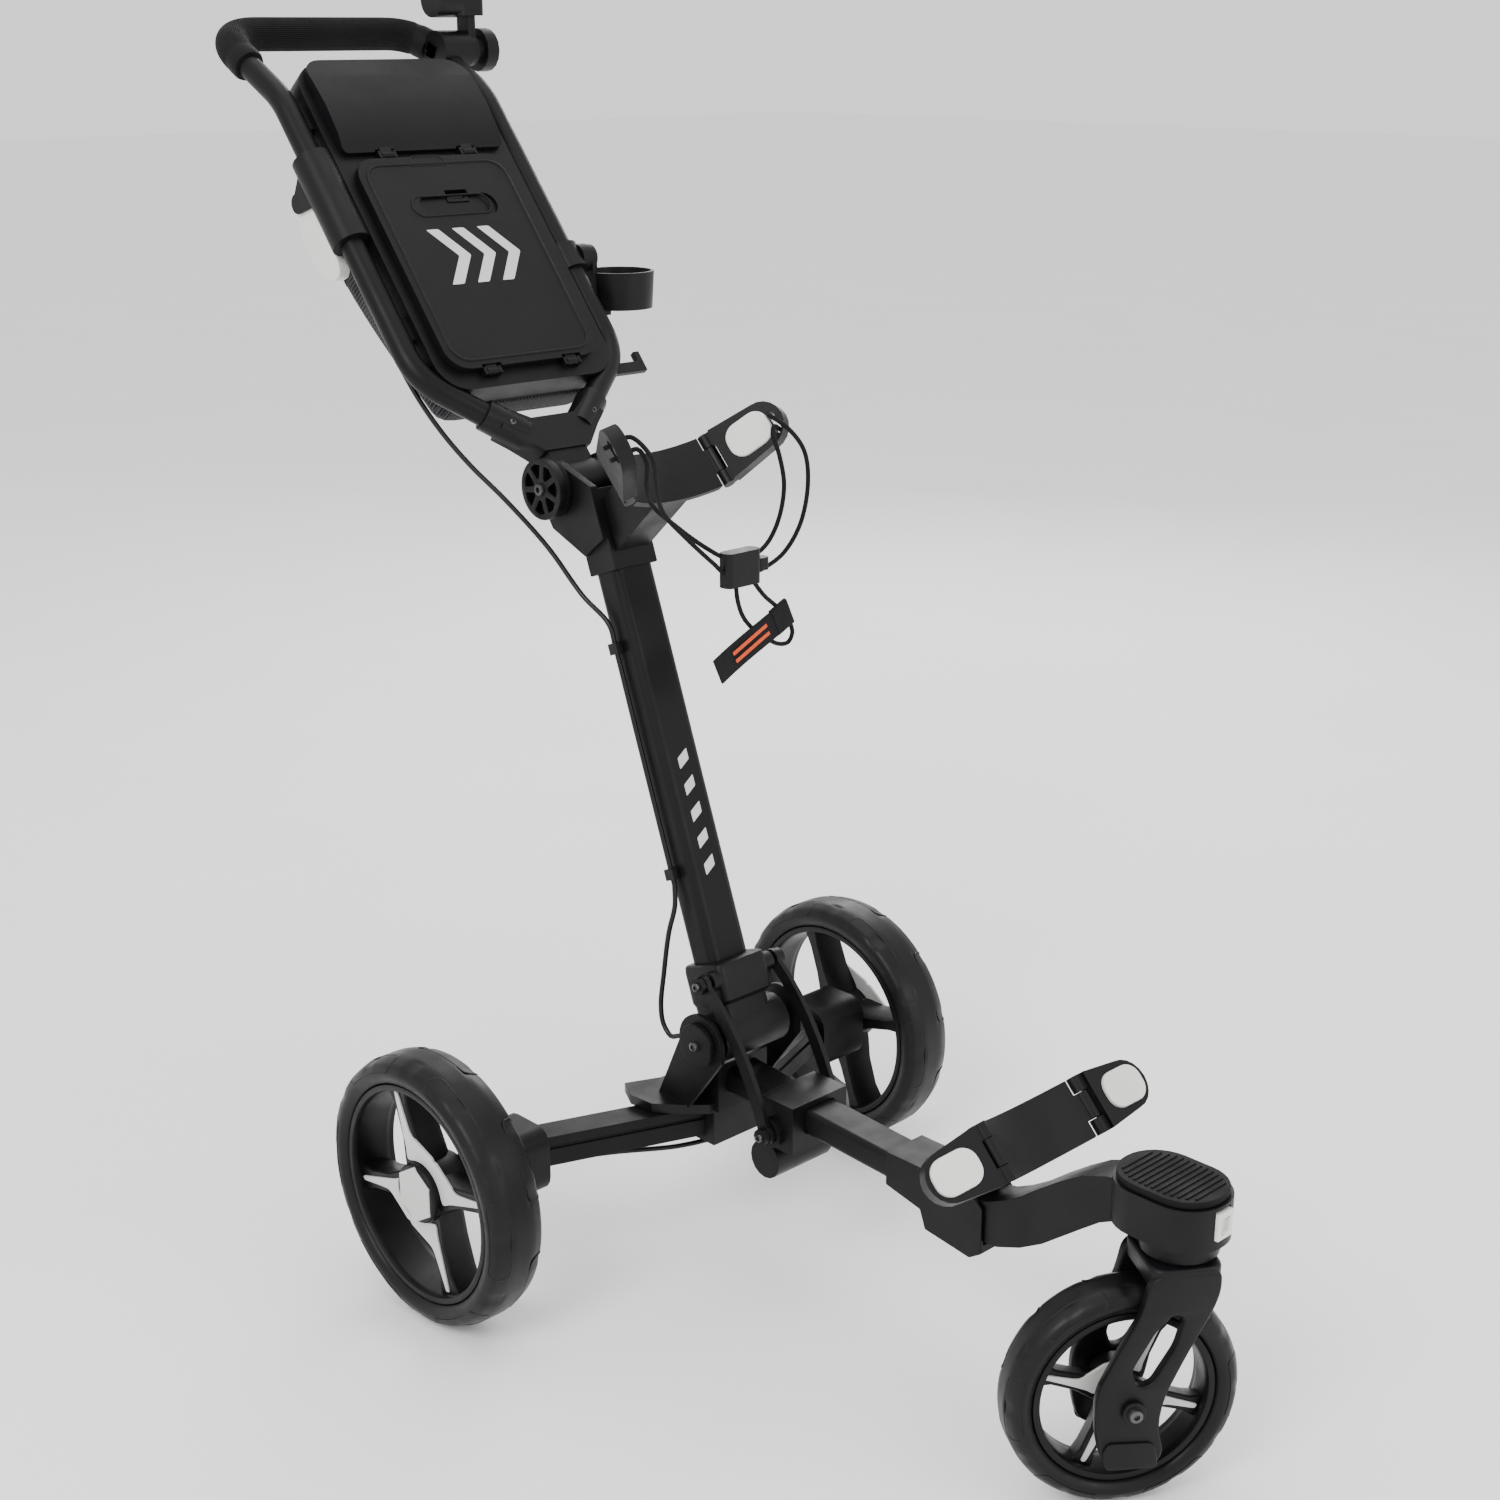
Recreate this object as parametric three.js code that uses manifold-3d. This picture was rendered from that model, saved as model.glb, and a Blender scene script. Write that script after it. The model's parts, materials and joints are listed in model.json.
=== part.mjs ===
// A three-wheeled golf push trolley, in millimetres with +Z up.
// X runs across the trolley, its travel direction is -Y, and the ground is at Z = 0.
// Everything is drawn with the middle of the rear axle at X = 0, Y = 0, and the last lines
// move the whole trolley so that the middle of its footprint is the origin.

import * as THREE from 'three';
import { mergeVertices } from 'three/addons/utils/BufferGeometryUtils.js';
import Module from 'manifold-3d';

const wasm = await Module();
wasm.setup();

// ---------- driving dimensions ----------

const rad = THREE.MathUtils.degToRad;
const GAP = 0.35;

const REAR = { radius: 121, width: 54, x: 253.75, rim: 98, hub: 27, bore: 8, turn: rad(28) };
const FRONT = { radius: 92.5, width: 41, rim: 72, hub: 19, bore: 5, turn: rad(-23) };
const SPOKES = [-48.5, 48.5, 131.5, 228.5].map(rad);
const CASTER = { y: -588, trail: 42, yaw: rad(57), top: 208 };
const HOUSING = { width: 70, length: 92, y: -579, bottom: 222, top: 257 };

const LOW_PIVOT = { y: -117, z: 228, barrel: 22, halfWidth: 38 };
const HIGH_PIVOT = { y: 90, z: 687, barrel: 20, halfWidth: 21.5 };
const TUBE = { lean: rad(20.1), width: 44, depth: 32, wall: 2, offset: 5.8, start: 24, end: 476 };
const HANDLE = { y: 95.4, z: 686.2, lean: rad(39), tube: 11, half: 112, straightEnd: 405 };
const GRIP = { radius: 15.5, start: 470, top: 523, bend: rad(22.5), corner: 42 };
const TRAY = { half: 98, bottom: 99, top: 445, front: 12, back: 14, corner: 30 };
const LID = { left: 82, right: 88, bottom: 115, top: 336, thick: 7.6, hinge: 112 };
const COVER = { half: 89, bottom: 345, top: 447, hinge: 341 };
const UMBRELLA = { y: 416, z: 1050, inner: 100, outer: 134, radius: 18.5 };
const CUP = { y: 234.5, z: 864.3, x: 168, radius: 34, height: 35 };
const AXLE = {
  front: -102,
  back: -72,
  tipFront: -34,
  tipBack: -4,
  tip: 206,
  middle: 24,
  bottom: 126,
  top: 154,
};
const RAIL = { width: 37, height: 23, slope: rad(3), back: -84, front: -352, topAtPivot: 193.5 };
const CHEEK = { inner: 46.3, outer: 51, radius: 27 };
const LINK = { inner: 40, outer: 45, width: 12, topY: -112.5, topZ: 280.4, lowY: -191, lowZ: 165 };
const CRADLE = { tilt: rad(47.1), width: 50, half: 56, sag: 14, thick: 6, gap: 0.8 };
const PAD = { width: 50, tip: 42, thick: 13, button: [42, 31] };
const CORD = { radius: 2, sides: 8 };
const CABLE = { radius: 2.4, sides: 8 };

// ---------- materials ----------

function paint(color, roughness, metalness = 0) {
  return new THREE.MeshStandardMaterial({ color, roughness, metalness });
}

const satinAluminium = paint(0x202024, 0.42, 0.6);
const blackPlastic = paint(0x1b1b1d, 0.55);
const softBlack = paint(0x161617, 0.85);
const tyreRubber = paint(0x141415, 0.7);
const offWhite = paint(0xd9d9d4, 0.45);
const steel = paint(0x55565a, 0.35, 0.9);
const meshFabric = paint(0x3a3b3e, 0.95);
const webbing = paint(0x18181a, 0.9);

// ---------- solids ----------

function toSolid(geometry) {
  const bare = geometry.clone();
  bare.deleteAttribute('normal');
  bare.deleteAttribute('uv');
  const welded = mergeVertices(bare, 1e-4);
  const vertProperties = new Float32Array(welded.attributes.position.array);
  const triVerts = new Uint32Array(welded.index.array);
  return new wasm.Manifold(new wasm.Mesh({ numProp: 3, vertProperties, triVerts }));
}

function toGeometry(solid) {
  const mesh = solid.getMesh();
  const geometry = new THREE.BufferGeometry();
  geometry.setAttribute('position', new THREE.BufferAttribute(mesh.vertProperties, 3));
  geometry.setIndex(new THREE.BufferAttribute(mesh.triVerts, 1));
  return geometry;
}

function join(first, ...others) {
  return toGeometry(others.reduce((sum, other) => sum.add(toSolid(other)), toSolid(first)));
}

function cut(first, ...others) {
  return toGeometry(others.reduce((left, other) => left.subtract(toSolid(other)), toSolid(first)));
}

function keepInside(first, other) {
  return toGeometry(toSolid(first).intersect(toSolid(other)));
}

function roundedOutline(width, height, radius) {
  const w = width / 2;
  const h = height / 2;
  const r = Math.min(radius, w - 0.01, h - 0.01);
  const outline = new THREE.Shape();
  outline.moveTo(-w + r, -h);
  outline.lineTo(w - r, -h);
  outline.absarc(w - r, -h + r, r, -Math.PI / 2, 0);
  outline.lineTo(w, h - r);
  outline.absarc(w - r, h - r, r, 0, Math.PI / 2);
  outline.lineTo(-w + r, h);
  outline.absarc(-w + r, h - r, r, Math.PI / 2, Math.PI);
  outline.lineTo(-w, -h + r);
  outline.absarc(-w + r, -h + r, r, Math.PI, 1.5 * Math.PI);
  return outline;
}

function polygon(points) {
  return new THREE.Shape(points.map(([x, y]) => new THREE.Vector2(x, y)));
}

// An outline in X and Y, made solid from one height to another.
function upright(outline, bottom, top, curveSegments = 2) {
  const options = { depth: top - bottom, bevelEnabled: false, curveSegments, steps: 1 };
  return new THREE.ExtrudeGeometry(outline, options).translate(0, 0, bottom);
}

// An outline in Y and Z, made solid from one X to another.
function sideways(outline, from, to, curveSegments = 2) {
  const geometry = upright(outline, from, to, curveSegments);
  const swap = new THREE.Matrix4().makeBasis(
    new THREE.Vector3(0, 1, 0),
    new THREE.Vector3(0, 0, 1),
    new THREE.Vector3(1, 0, 0),
  );
  return geometry.applyMatrix4(swap);
}

function block(width, depth, height, radius = 2, curveSegments = 2) {
  return upright(roundedOutline(width, depth, radius), -height / 2, height / 2, curveSegments);
}

function box(xs, ys, zs) {
  const size = [xs, ys, zs].map(([from, to]) => to - from);
  const middle = [xs, ys, zs].map(([from, to]) => (from + to) / 2);
  return new THREE.BoxGeometry(...size).translate(...middle);
}

// A round bar along X from one X to another, centred on Y and Z.
function rod(radius, from, to, y = 0, z = 0, sides = 16) {
  const bar = new THREE.CylinderGeometry(radius, radius, to - from, sides);
  return bar.rotateZ(-Math.PI / 2).translate((from + to) / 2, y, z);
}

// A round bar standing along Z.
function post(radius, bottom, top, x = 0, y = 0, sides = 16) {
  const bar = new THREE.CylinderGeometry(radius, radius, top - bottom, sides);
  return bar.rotateX(Math.PI / 2).translate(x, y, (bottom + top) / 2);
}

// A closed profile of [distance along X, radius] turned about the X axis. The profile
// runs from -X to +X along its inner side and comes back along its outer side.
function turned(profile, segments) {
  const closed = [...profile, profile[0]].reverse();
  const points = closed.map(([along, radius]) => new THREE.Vector2(radius, along));
  return new THREE.LatheGeometry(points, segments).rotateZ(-Math.PI / 2);
}

function ring(radius, sides) {
  const points = [];
  for (let side = 0; side < sides; side += 1) {
    const angle = (2 * Math.PI * side) / sides;
    points.push([radius * Math.cos(angle), radius * Math.sin(angle)]);
  }
  return polygon(points);
}

function sweep(outline, curve, steps, curveSegments = 3) {
  return new THREE.ExtrudeGeometry(outline, { steps, extrudePath: curve, curveSegments });
}

function vectors(points) {
  return points.map(([x, y, z]) => new THREE.Vector3(x, y, z));
}

// A route through a list of stations, with one step of a sweep from each station to the next.
class Route extends THREE.Curve {
  constructor(stations) {
    super();
    this.stations = stations;
    this.steps = stations.length - 1;
  }

  getPoint(t, target = new THREE.Vector3()) {
    const first = Math.min(Math.floor(t * this.steps + 1e-6), this.steps - 1);
    return target.lerpVectors(this.stations[first], this.stations[first + 1], t * this.steps - first);
  }

  getPointAt(t, target) {
    return this.getPoint(t, target);
  }

  getTangentAt(t, target = new THREE.Vector3()) {
    const here = Math.round(t * this.steps);
    const before = this.stations[Math.max(here - 1, 0)];
    const after = this.stations[Math.min(here + 1, this.steps)];
    return target.subVectors(after, before).normalize();
  }
}

// Straight runs whose corners are rounded, each from its own distance before it.
function bentRoute(points, bends, cornerSteps) {
  const corners = vectors(points);
  const stations = [corners[0]];
  for (let i = 1; i < corners.length - 1; i += 1) {
    const bend = bends[i - 1];
    const before = corners[i].clone().lerp(corners[i - 1], bend / corners[i].distanceTo(corners[i - 1]));
    const after = corners[i].clone().lerp(corners[i + 1], bend / corners[i].distanceTo(corners[i + 1]));
    stations.push(...new THREE.QuadraticBezierCurve3(before, corners[i], after).getPoints(cornerSteps));
  }
  stations.push(corners[corners.length - 1]);
  return new Route(stations);
}

function sweepRoute(radius, sides, route) {
  return sweep(ring(radius, sides), route, route.steps);
}

function splineRoute(points, steps) {
  const curve = new THREE.CatmullRomCurve3(vectors(points), false, 'centripetal');
  return new Route(curve.getSpacedPoints(steps));
}

function mirrored(geometry) {
  const flipped = toSolid(geometry).mirror([1, 0, 0]);
  return toGeometry(flipped);
}

// ---------- the assembly's frames ----------

const trolley = new THREE.Group();

function frameAt(parent, x, y, z, tilt = 0, turn = 0) {
  const frame = new THREE.Group();
  frame.position.set(x, y, z);
  frame.rotation.set(tilt, 0, turn);
  parent.add(frame);
  return frame;
}

// In the main frame +Y is behind the tube and +Z runs up along it.
const mainFrame = frameAt(trolley, 0, LOW_PIVOT.y, LOW_PIVOT.z, -TUBE.lean);
// In the handle frame +Y is behind the console and +Z runs up towards the grip.
const handleFrame = frameAt(trolley, 0, HANDLE.y, HANDLE.z, -HANDLE.lean);
// In the caster frame X is the wheel's axle and +Y is the trailing direction.
const casterFrame = frameAt(trolley, 0, CASTER.y, 0, 0, CASTER.yaw);

// The same solid, seen from another frame.
function moved(geometry, from, to) {
  trolley.updateMatrixWorld(true);
  const change = to.matrixWorld.clone().invert().multiply(from.matrixWorld);
  return geometry.clone().applyMatrix4(change);
}

function add(frame, name, geometry, material) {
  const mesh = new THREE.Mesh(geometry, material);
  mesh.name = name;
  frame.add(mesh);
}

const SIDES = [['left', 1], ['right', -1]];

// Turns a point of the trolley's own space into a frame's space, in the YZ plane.
function inFrame(origin, lean, y, z) {
  const dy = y - origin.y;
  const dz = z - origin.z;
  return [dy * Math.cos(lean) - dz * Math.sin(lean), dy * Math.sin(lean) + dz * Math.cos(lean)];
}

// Points of the main frame and of the handle frame in the trolley's own space.
function mainPoint(x, back, up) {
  const y = LOW_PIVOT.y + back * Math.cos(TUBE.lean) + up * Math.sin(TUBE.lean);
  return [x, y, LOW_PIVOT.z - back * Math.sin(TUBE.lean) + up * Math.cos(TUBE.lean)];
}

function handlePoint(x, back, up) {
  const y = HANDLE.y + back * Math.cos(HANDLE.lean) + up * Math.sin(HANDLE.lean);
  return [x, y, HANDLE.z - back * Math.sin(HANDLE.lean) + up * Math.cos(HANDLE.lean)];
}

const [highBack, highUp] = inFrame(LOW_PIVOT, TUBE.lean, HIGH_PIVOT.y, HIGH_PIVOT.z);
const [linkBack, linkUp] = inFrame(LOW_PIVOT, TUBE.lean, LINK.topY, LINK.topZ);
const [pivotBehind, pivotAlong] = inFrame(HANDLE, HANDLE.lean, HIGH_PIVOT.y, HIGH_PIVOT.z);

// ---------- wheels ----------

function tyre(wheel, segments) {
  const half = wheel.width / 2;
  const flat = half * 0.42;
  const seat = wheel.rim + GAP;
  const side = wheel.radius - wheel.rim;
  const profile = [
    [-half + 4, seat],
    [half - 4, seat],
    [half, seat + side * 0.35],
    [half - 3, wheel.radius - 4.5],
    [flat, wheel.radius],
    [-flat, wheel.radius],
    [-half + 3, wheel.radius - 4.5],
    [-half, seat + side * 0.35],
  ];
  return turned(profile, segments);
}

function rim(wheel, segments, spokeWidth, hubHalf) {
  const half = wheel.width / 2 - 4.5;
  const wall = 6;
  const barrel = turned([
    [-half, wheel.rim - wall],
    [half, wheel.rim - wall],
    [half, wheel.rim],
    [-half, wheel.rim],
  ], segments);
  const hub = rod(wheel.hub, -hubHalf, hubHalf);
  const spokes = SPOKES.map((angle) => {
    const spoke = box([-half + 5, half - 9], [-spokeWidth / 2, spokeWidth / 2], [0, wheel.rim - wall / 2]);
    return spoke.rotateX(wheel.turn + angle);
  });
  const bore = rod(wheel.bore + GAP, -wheel.width, wheel.width);
  return cut(join(barrel, hub, ...spokes), bore);
}

function rearWheels() {
  for (const [side, sign] of SIDES) {
    const frame = frameAt(trolley, sign * REAR.x, 0, REAR.radius);
    add(frame, `rear_tyre_${side}`, tyre(REAR, 28), tyreRubber);
    const outward = rim(REAR, 28, 22, 22);
    add(frame, `rear_rim_${side}`, sign > 0 ? outward : mirrored(outward), blackPlastic);
  }
}

// ---------- rear axle and hinge bracket ----------

function beamPlan(grow) {
  const { tip, tipFront, tipBack, front, back, middle } = AXLE;
  return polygon([
    [-tip - grow, tipFront - grow],
    [-middle, front - 1.1 * grow],
    [middle, front - 1.1 * grow],
    [tip + grow, tipFront - grow],
    [tip + grow, tipBack + grow],
    [middle, back + 1.1 * grow],
    [-middle, back + 1.1 * grow],
    [-tip - grow, tipBack + grow],
  ]);
}

function axleBeam() {
  const beam = upright(beamPlan(0), AXLE.bottom, AXLE.top);
  const slot = upright(beamPlan(0), AXLE.top - 12, AXLE.top - 8.5);
  const core = slot.clone().translate(0, 2.5, 0);
  add(trolley, 'axle_beam', cut(beam, cut(slot, core)), satinAluminium);
}

function hubBlocks() {
  const inner = 170;
  const outer = REAR.x - REAR.width / 2 - 2;
  for (const [side, sign] of SIDES) {
    const casing = sideways(roundedOutline(60, 60, 16), inner, outer).translate(0, -24, 134);
    const shoulder = rod(17, outer - 1, REAR.x - 22 - GAP, 0, REAR.radius);
    const shaft = rod(REAR.bore, outer - 1, REAR.x + 21, 0, REAR.radius, 16);
    const arm = upright(beamPlan(GAP), AXLE.bottom - GAP, AXLE.top + GAP);
    const hub = cut(join(casing, shoulder, shaft), arm);
    add(trolley, `hub_block_${side}`, sign > 0 ? hub : mirrored(hub), blackPlastic);
  }
}

function railTop(y) {
  return RAIL.topAtPivot + (y - LOW_PIVOT.y) * Math.tan(RAIL.slope);
}

function railBox(grow) {
  const middle = (RAIL.back + RAIL.front) / 2;
  const length = RAIL.back - RAIL.front;
  const outline = roundedOutline(RAIL.width + 2 * grow, RAIL.height + 2 * grow, 5);
  const bar = upright(outline, -length / 2 - grow, length / 2 + grow).rotateX(Math.PI / 2 + RAIL.slope);
  return bar.translate(0, middle, railTop(middle) - RAIL.height / 2);
}

function hingeBracket() {
  const floor = AXLE.top + GAP;
  const plate = upright(polygon([
    [-62, -28],
    [-74, -50],
    [-72, -76],
    [-53, -98],
    [-36, -114],
    [36, -114],
    [53, -98],
    [72, -76],
    [74, -50],
    [62, -28],
    [30, -42],
    [-30, -42],
  ]), floor, floor + 9);
  const saddle = box([-30, 30], [-118, -76], [floor, 200]);
  const jaw = box([-30, 30], [-112, -70], [AXLE.bottom - 6, floor + 4]);
  const cablePost = box([-45, -33], [-93, -84], [floor + 4, 231]);
  const cheeks = SIDES.map(([, sign]) => {
    const outline = new THREE.Shape();
    outline.moveTo(-99, floor + 4);
    outline.lineTo(-60, floor + 4);
    outline.lineTo(LOW_PIVOT.y + CHEEK.radius, LOW_PIVOT.z - 4);
    outline.absarc(LOW_PIVOT.y, LOW_PIVOT.z, CHEEK.radius, 0, Math.PI);
    outline.lineTo(LOW_PIVOT.y - CHEEK.radius, LOW_PIVOT.z - 10);
    const edge = [sign * CHEEK.inner, sign * CHEEK.outer].sort((a, b) => a - b);
    return sideways(outline, edge[0], edge[1], 10);
  });
  const beam = upright(beamPlan(GAP), AXLE.bottom - GAP, floor);
  const bore = rod(7 + GAP, -80, 80, LOW_PIVOT.y, LOW_PIVOT.z, 16);
  const body = join(plate, saddle, jaw, cablePost, ...cheeks);
  add(trolley, 'hinge_bracket', cut(body, beam, railBox(GAP), bore), blackPlastic);
}

function lowerPivotPin() {
  const shaft = rod(7, -CHEEK.outer - 2, CHEEK.outer + 2, LOW_PIVOT.y, LOW_PIVOT.z, 16);
  const heads = SIDES.map(([, sign]) => {
    const ends = [sign * (CHEEK.outer + GAP), sign * (CHEEK.outer + 6)].sort((a, b) => a - b);
    return rod(20, ends[0], ends[1], LOW_PIVOT.y, LOW_PIVOT.z);
  });
  add(trolley, 'lower_pivot_pin', join(shaft, ...heads), blackPlastic);
}

// ---------- front rail, arm and caster ----------

function frontRail() {
  add(trolley, 'front_rail', railBox(0), satinAluminium);
}

// The casting on the rail's front end carries the lower cradle and the front arm.
function frontCollar() {
  const casting = sideways(polygon([
    [-312, 188],
    [-312, 158],
    [-350, 150],
    [-356, 134],
    [-404, 128],
    [-416, 136],
    [-416, 176],
    [-402, 188],
  ]), -22, 22);
  const lug = sideways(polygon([
    [-404, 182],
    [-408, 191],
    [-426, 204],
    [-402, 230],
    [-388, 218],
    [-372, 192],
    [-372, 182],
  ]), -12, 12);
  const armSocket = box([-18.5 - GAP, 18.5 + GAP], [-430, -382.5], [143, 184]);
  add(trolley, 'front_collar', cut(join(casting, lug), railBox(GAP), armSocket), blackPlastic);
}

function frontArm() {
  const line = new THREE.SplineCurve([
    new THREE.Vector2(-385, 162),
    new THREE.Vector2(-420, 164),
    new THREE.Vector2(-455, 180),
    new THREE.Vector2(-490, 206),
    new THREE.Vector2(-522, 228),
    new THREE.Vector2(-552, 238),
  ]);
  const steps = 9;
  const upper = [];
  const lower = [];
  for (let i = 0; i <= steps; i += 1) {
    const at = line.getPoint(i / steps);
    const along = line.getTangent(i / steps);
    const half = 16.5 + 3.5 * Math.sin((Math.PI * i) / steps);
    upper.push([at.x + along.y * half, at.y - along.x * half]);
    lower.push([at.x - along.y * half, at.y + along.x * half]);
  }
  const beam = sideways(polygon([...upper, ...lower.reverse()]), -18.5, 18.5);
  const stadium = roundedOutline(HOUSING.width, HOUSING.length, 33);
  const housing = upright(stadium, HOUSING.bottom, HOUSING.top, 4).translate(0, HOUSING.y, 0);
  const neck = post(30, CASTER.top + 1, HOUSING.bottom + 1, 0, CASTER.y, 24);
  const bore = post(9 + GAP, CASTER.top - 9, HOUSING.top - 6, 0, CASTER.y, 16);
  const front = HOUSING.y - HOUSING.length / 2;
  const latchSeat = box([-9 - GAP, 9 + GAP], [front - 5, front + 10], [230, HOUSING.top - 3]);
  const above = box([-60, 60], [-640, -500], [HOUSING.top, 300]);
  add(trolley, 'front_arm', cut(join(beam, housing, neck), bore, latchSeat, above), blackPlastic);
}

function casterPad() {
  const stadium = roundedOutline(HOUSING.width - 5, HOUSING.length - 5, 31);
  const pad = upright(stadium, HOUSING.top + GAP, HOUSING.top + 6, 4).translate(0, HOUSING.y, 0);
  add(trolley, 'caster_pad', pad, softBlack);
}

function swivelLatch() {
  const front = HOUSING.y - HOUSING.length / 2;
  const key = box([-9, 9], [front - 2, front + 9], [230 + GAP, 252]);
  const hollow = box([-5, 5], [front - 5, front + 2], [235, 247]);
  add(trolley, 'swivel_latch', cut(key, hollow), offWhite);
}

function casterFork() {
  const armInner = FRONT.width / 2 + 3.5;
  const armOuter = armInner + 9;
  const outline = polygon([
    [-22, 204],
    [-22, 186],
    [-17, 171],
    [1, 136],
    [17, 101],
    [21, 76],
    [15, 52],
    [24, 40],
    [63, 47],
    [70, 75],
    [71, 108],
    [56, 140],
    [39, 171],
    [32, 204],
  ]);
  const slot = polygon([
    [7, 164],
    [12, 142],
    [28, 116],
    [37, 113],
    [42, 126],
    [26, 155],
    [14, 168],
  ]);
  const arms = SIDES.map(([, sign]) => {
    const edge = [sign * armInner, sign * armOuter].sort((a, b) => a - b);
    return cut(sideways(outline, edge[0], edge[1]), sideways(slot, edge[0] - 1, edge[1] + 1));
  });
  const crown = upright(roundedOutline(2 * armOuter, 56, 12), CASTER.top - 16, CASTER.top).translate(0, 4, 0);
  const stem = post(9, CASTER.top - 2, HOUSING.top - 8, 0, 0, 16);
  const bore = rod(FRONT.bore + GAP, -60, 60, CASTER.trail, FRONT.radius, 16);
  add(casterFrame, 'caster_fork', cut(join(crown, stem, ...arms), bore), blackPlastic);
}

function frontWheel() {
  const end = FRONT.width / 2 + 12.5;
  const axle = join(
    rod(FRONT.bore, -end - 3, end + 3, 0, 0, 16),
    rod(8.5, end + GAP, end + 5, 0, 0, 6),
    rod(8.5, -end - 5, -end - GAP, 0, 0, 6),
  );
  const frame = frameAt(casterFrame, 0, CASTER.trail, FRONT.radius);
  add(frame, 'front_axle_bolt', axle, steel);
  add(frame, 'front_tyre', tyre(FRONT, 26), tyreRubber);
  add(frame, 'front_rim', rim(FRONT, 26, 17, 22), blackPlastic);
}

// ---------- fold mechanism at the bottom of the main tube ----------

function lowerKnuckle() {
  const barrel = rod(LOW_PIVOT.barrel, -LOW_PIVOT.halfWidth, LOW_PIVOT.halfWidth);
  const socket = upright(roundedOutline(54, 44, 8), 8, 62, 2).translate(0, TUBE.offset, 0);
  const boss = rod(9, -36, 36, linkBack, linkUp, 12);
  const pin = rod(4.6, -LINK.outer - 3, LINK.outer + 3, linkBack, linkUp, 12);
  const heads = SIDES.map(([, sign]) => {
    const ends = [sign * (LINK.outer + GAP), sign * (LINK.outer + 5)].sort((a, b) => a - b);
    return rod(8, ends[0], ends[1], linkBack, linkUp, 12);
  });
  const bore = rod(7 + GAP, -60, 60, 0, 0, 16);
  const tube = roundedOutline(TUBE.width + 2 * GAP, TUBE.depth + 2 * GAP, 8);
  const seat = upright(tube, TUBE.start - GAP, 70).translate(0, TUBE.offset, 0);
  add(mainFrame, 'lower_knuckle', join(cut(join(barrel, socket), bore, seat), boss, pin, ...heads), blackPlastic);
}

function mainTube() {
  const outline = roundedOutline(TUBE.width, TUBE.depth, 8);
  outline.holes.push(roundedOutline(TUBE.width - 2 * TUBE.wall, TUBE.depth - 2 * TUBE.wall, 6));
  const tube = upright(outline, TUBE.start, TUBE.end).translate(0, TUBE.offset, 0);
  add(mainFrame, 'main_tube', cut(tube, rod(9.6, -26, 26, linkBack, linkUp, 16)), satinAluminium);
}

function foldLinks() {
  const curve = new THREE.QuadraticBezierCurve3(
    new THREE.Vector3(0, LINK.topY, LINK.topZ),
    new THREE.Vector3(0, LINK.topY - 50, LINK.topZ - 36),
    new THREE.Vector3(0, LINK.lowY, LINK.lowZ),
  );
  const thick = LINK.outer - LINK.inner;
  const across = LINK.width / 2;
  for (const [side, sign] of SIDES) {
    const middle = (sign * (LINK.inner + LINK.outer)) / 2;
    const section = polygon([[-thick / 2, -across], [thick / 2, -across], [thick / 2, across], [-thick / 2, across]]);
    const bar = sweep(section, curve, 7).translate(middle, 0, 0);
    const from = middle - thick / 2;
    const topEye = rod(9, from, from + thick, LINK.topY, LINK.topZ, 12);
    const lowEye = rod(9, from, from + thick, LINK.lowY, LINK.lowZ, 12);
    const ends = [sign * (LINK.outer - 1), sign * (LINK.outer + 5)].sort((a, b) => a - b);
    const head = rod(7.5, ends[0], ends[1], LINK.lowY, LINK.lowZ, 12);
    const hole = rod(4.6 + GAP, from - 1, from + thick + 1, LINK.topY, LINK.topZ, 12);
    add(trolley, `fold_link_${side}`, cut(join(bar, topEye, lowEye, head), hole), blackPlastic);
  }
}

// The slider hangs under the rail, and the links' lower ends push it along.
function linkSlider() {
  const body = box([-33, 33], [-214, -174], [150, railTop(-194) + 5]);
  const bosses = rod(13, -LINK.inner + 0.8, LINK.inner - 0.8, LINK.lowY, LINK.lowZ, 12);
  const foot = rod(17.5, -33, 33, -180, 134);
  add(trolley, 'link_slider', cut(join(body, bosses, foot), railBox(0.6)), blackPlastic);
}

// ---------- upper socket, dials and the cable clips ----------

const SLEEVE = { proud: 2.2, half: 24.5, bottom: 418 };

function upperSocket() {
  const front = TUBE.offset - TUBE.depth / 2 - SLEEVE.proud;
  const back = TUBE.offset + TUBE.depth / 2 + SLEEVE.proud;
  const sleeve = box([-SLEEVE.half, SLEEVE.half], [front, back], [SLEEVE.bottom, TUBE.end + 1]);
  const cap = box([-SLEEVE.half, SLEEVE.half], [front, 11], [TUBE.end, highUp - 12]);
  const outline = new THREE.Shape();
  outline.moveTo(front, 446);
  outline.lineTo(back - 6, 436);
  outline.lineTo(highBack + 16, highUp - 34);
  outline.absarc(highBack, highUp, 24, -0.35, Math.PI - 0.6);
  outline.lineTo(front, highUp - 10);
  const cheeks = SIDES.map(([, sign]) => {
    const edge = [sign * 22.2, sign * 30].sort((a, b) => a - b);
    return sideways(outline, edge[0], edge[1], 8);
  });
  const tube = roundedOutline(TUBE.width + 2 * GAP, TUBE.depth + 2 * GAP, 8);
  const seat = upright(tube, 380, TUBE.end + GAP).translate(0, TUBE.offset, 0);
  const bore = rod(6 + GAP, -60, 60, highBack, highUp, 16);
  add(mainFrame, 'upper_socket', cut(join(sleeve, cap, ...cheeks), seat, bore), blackPlastic);
}

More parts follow.
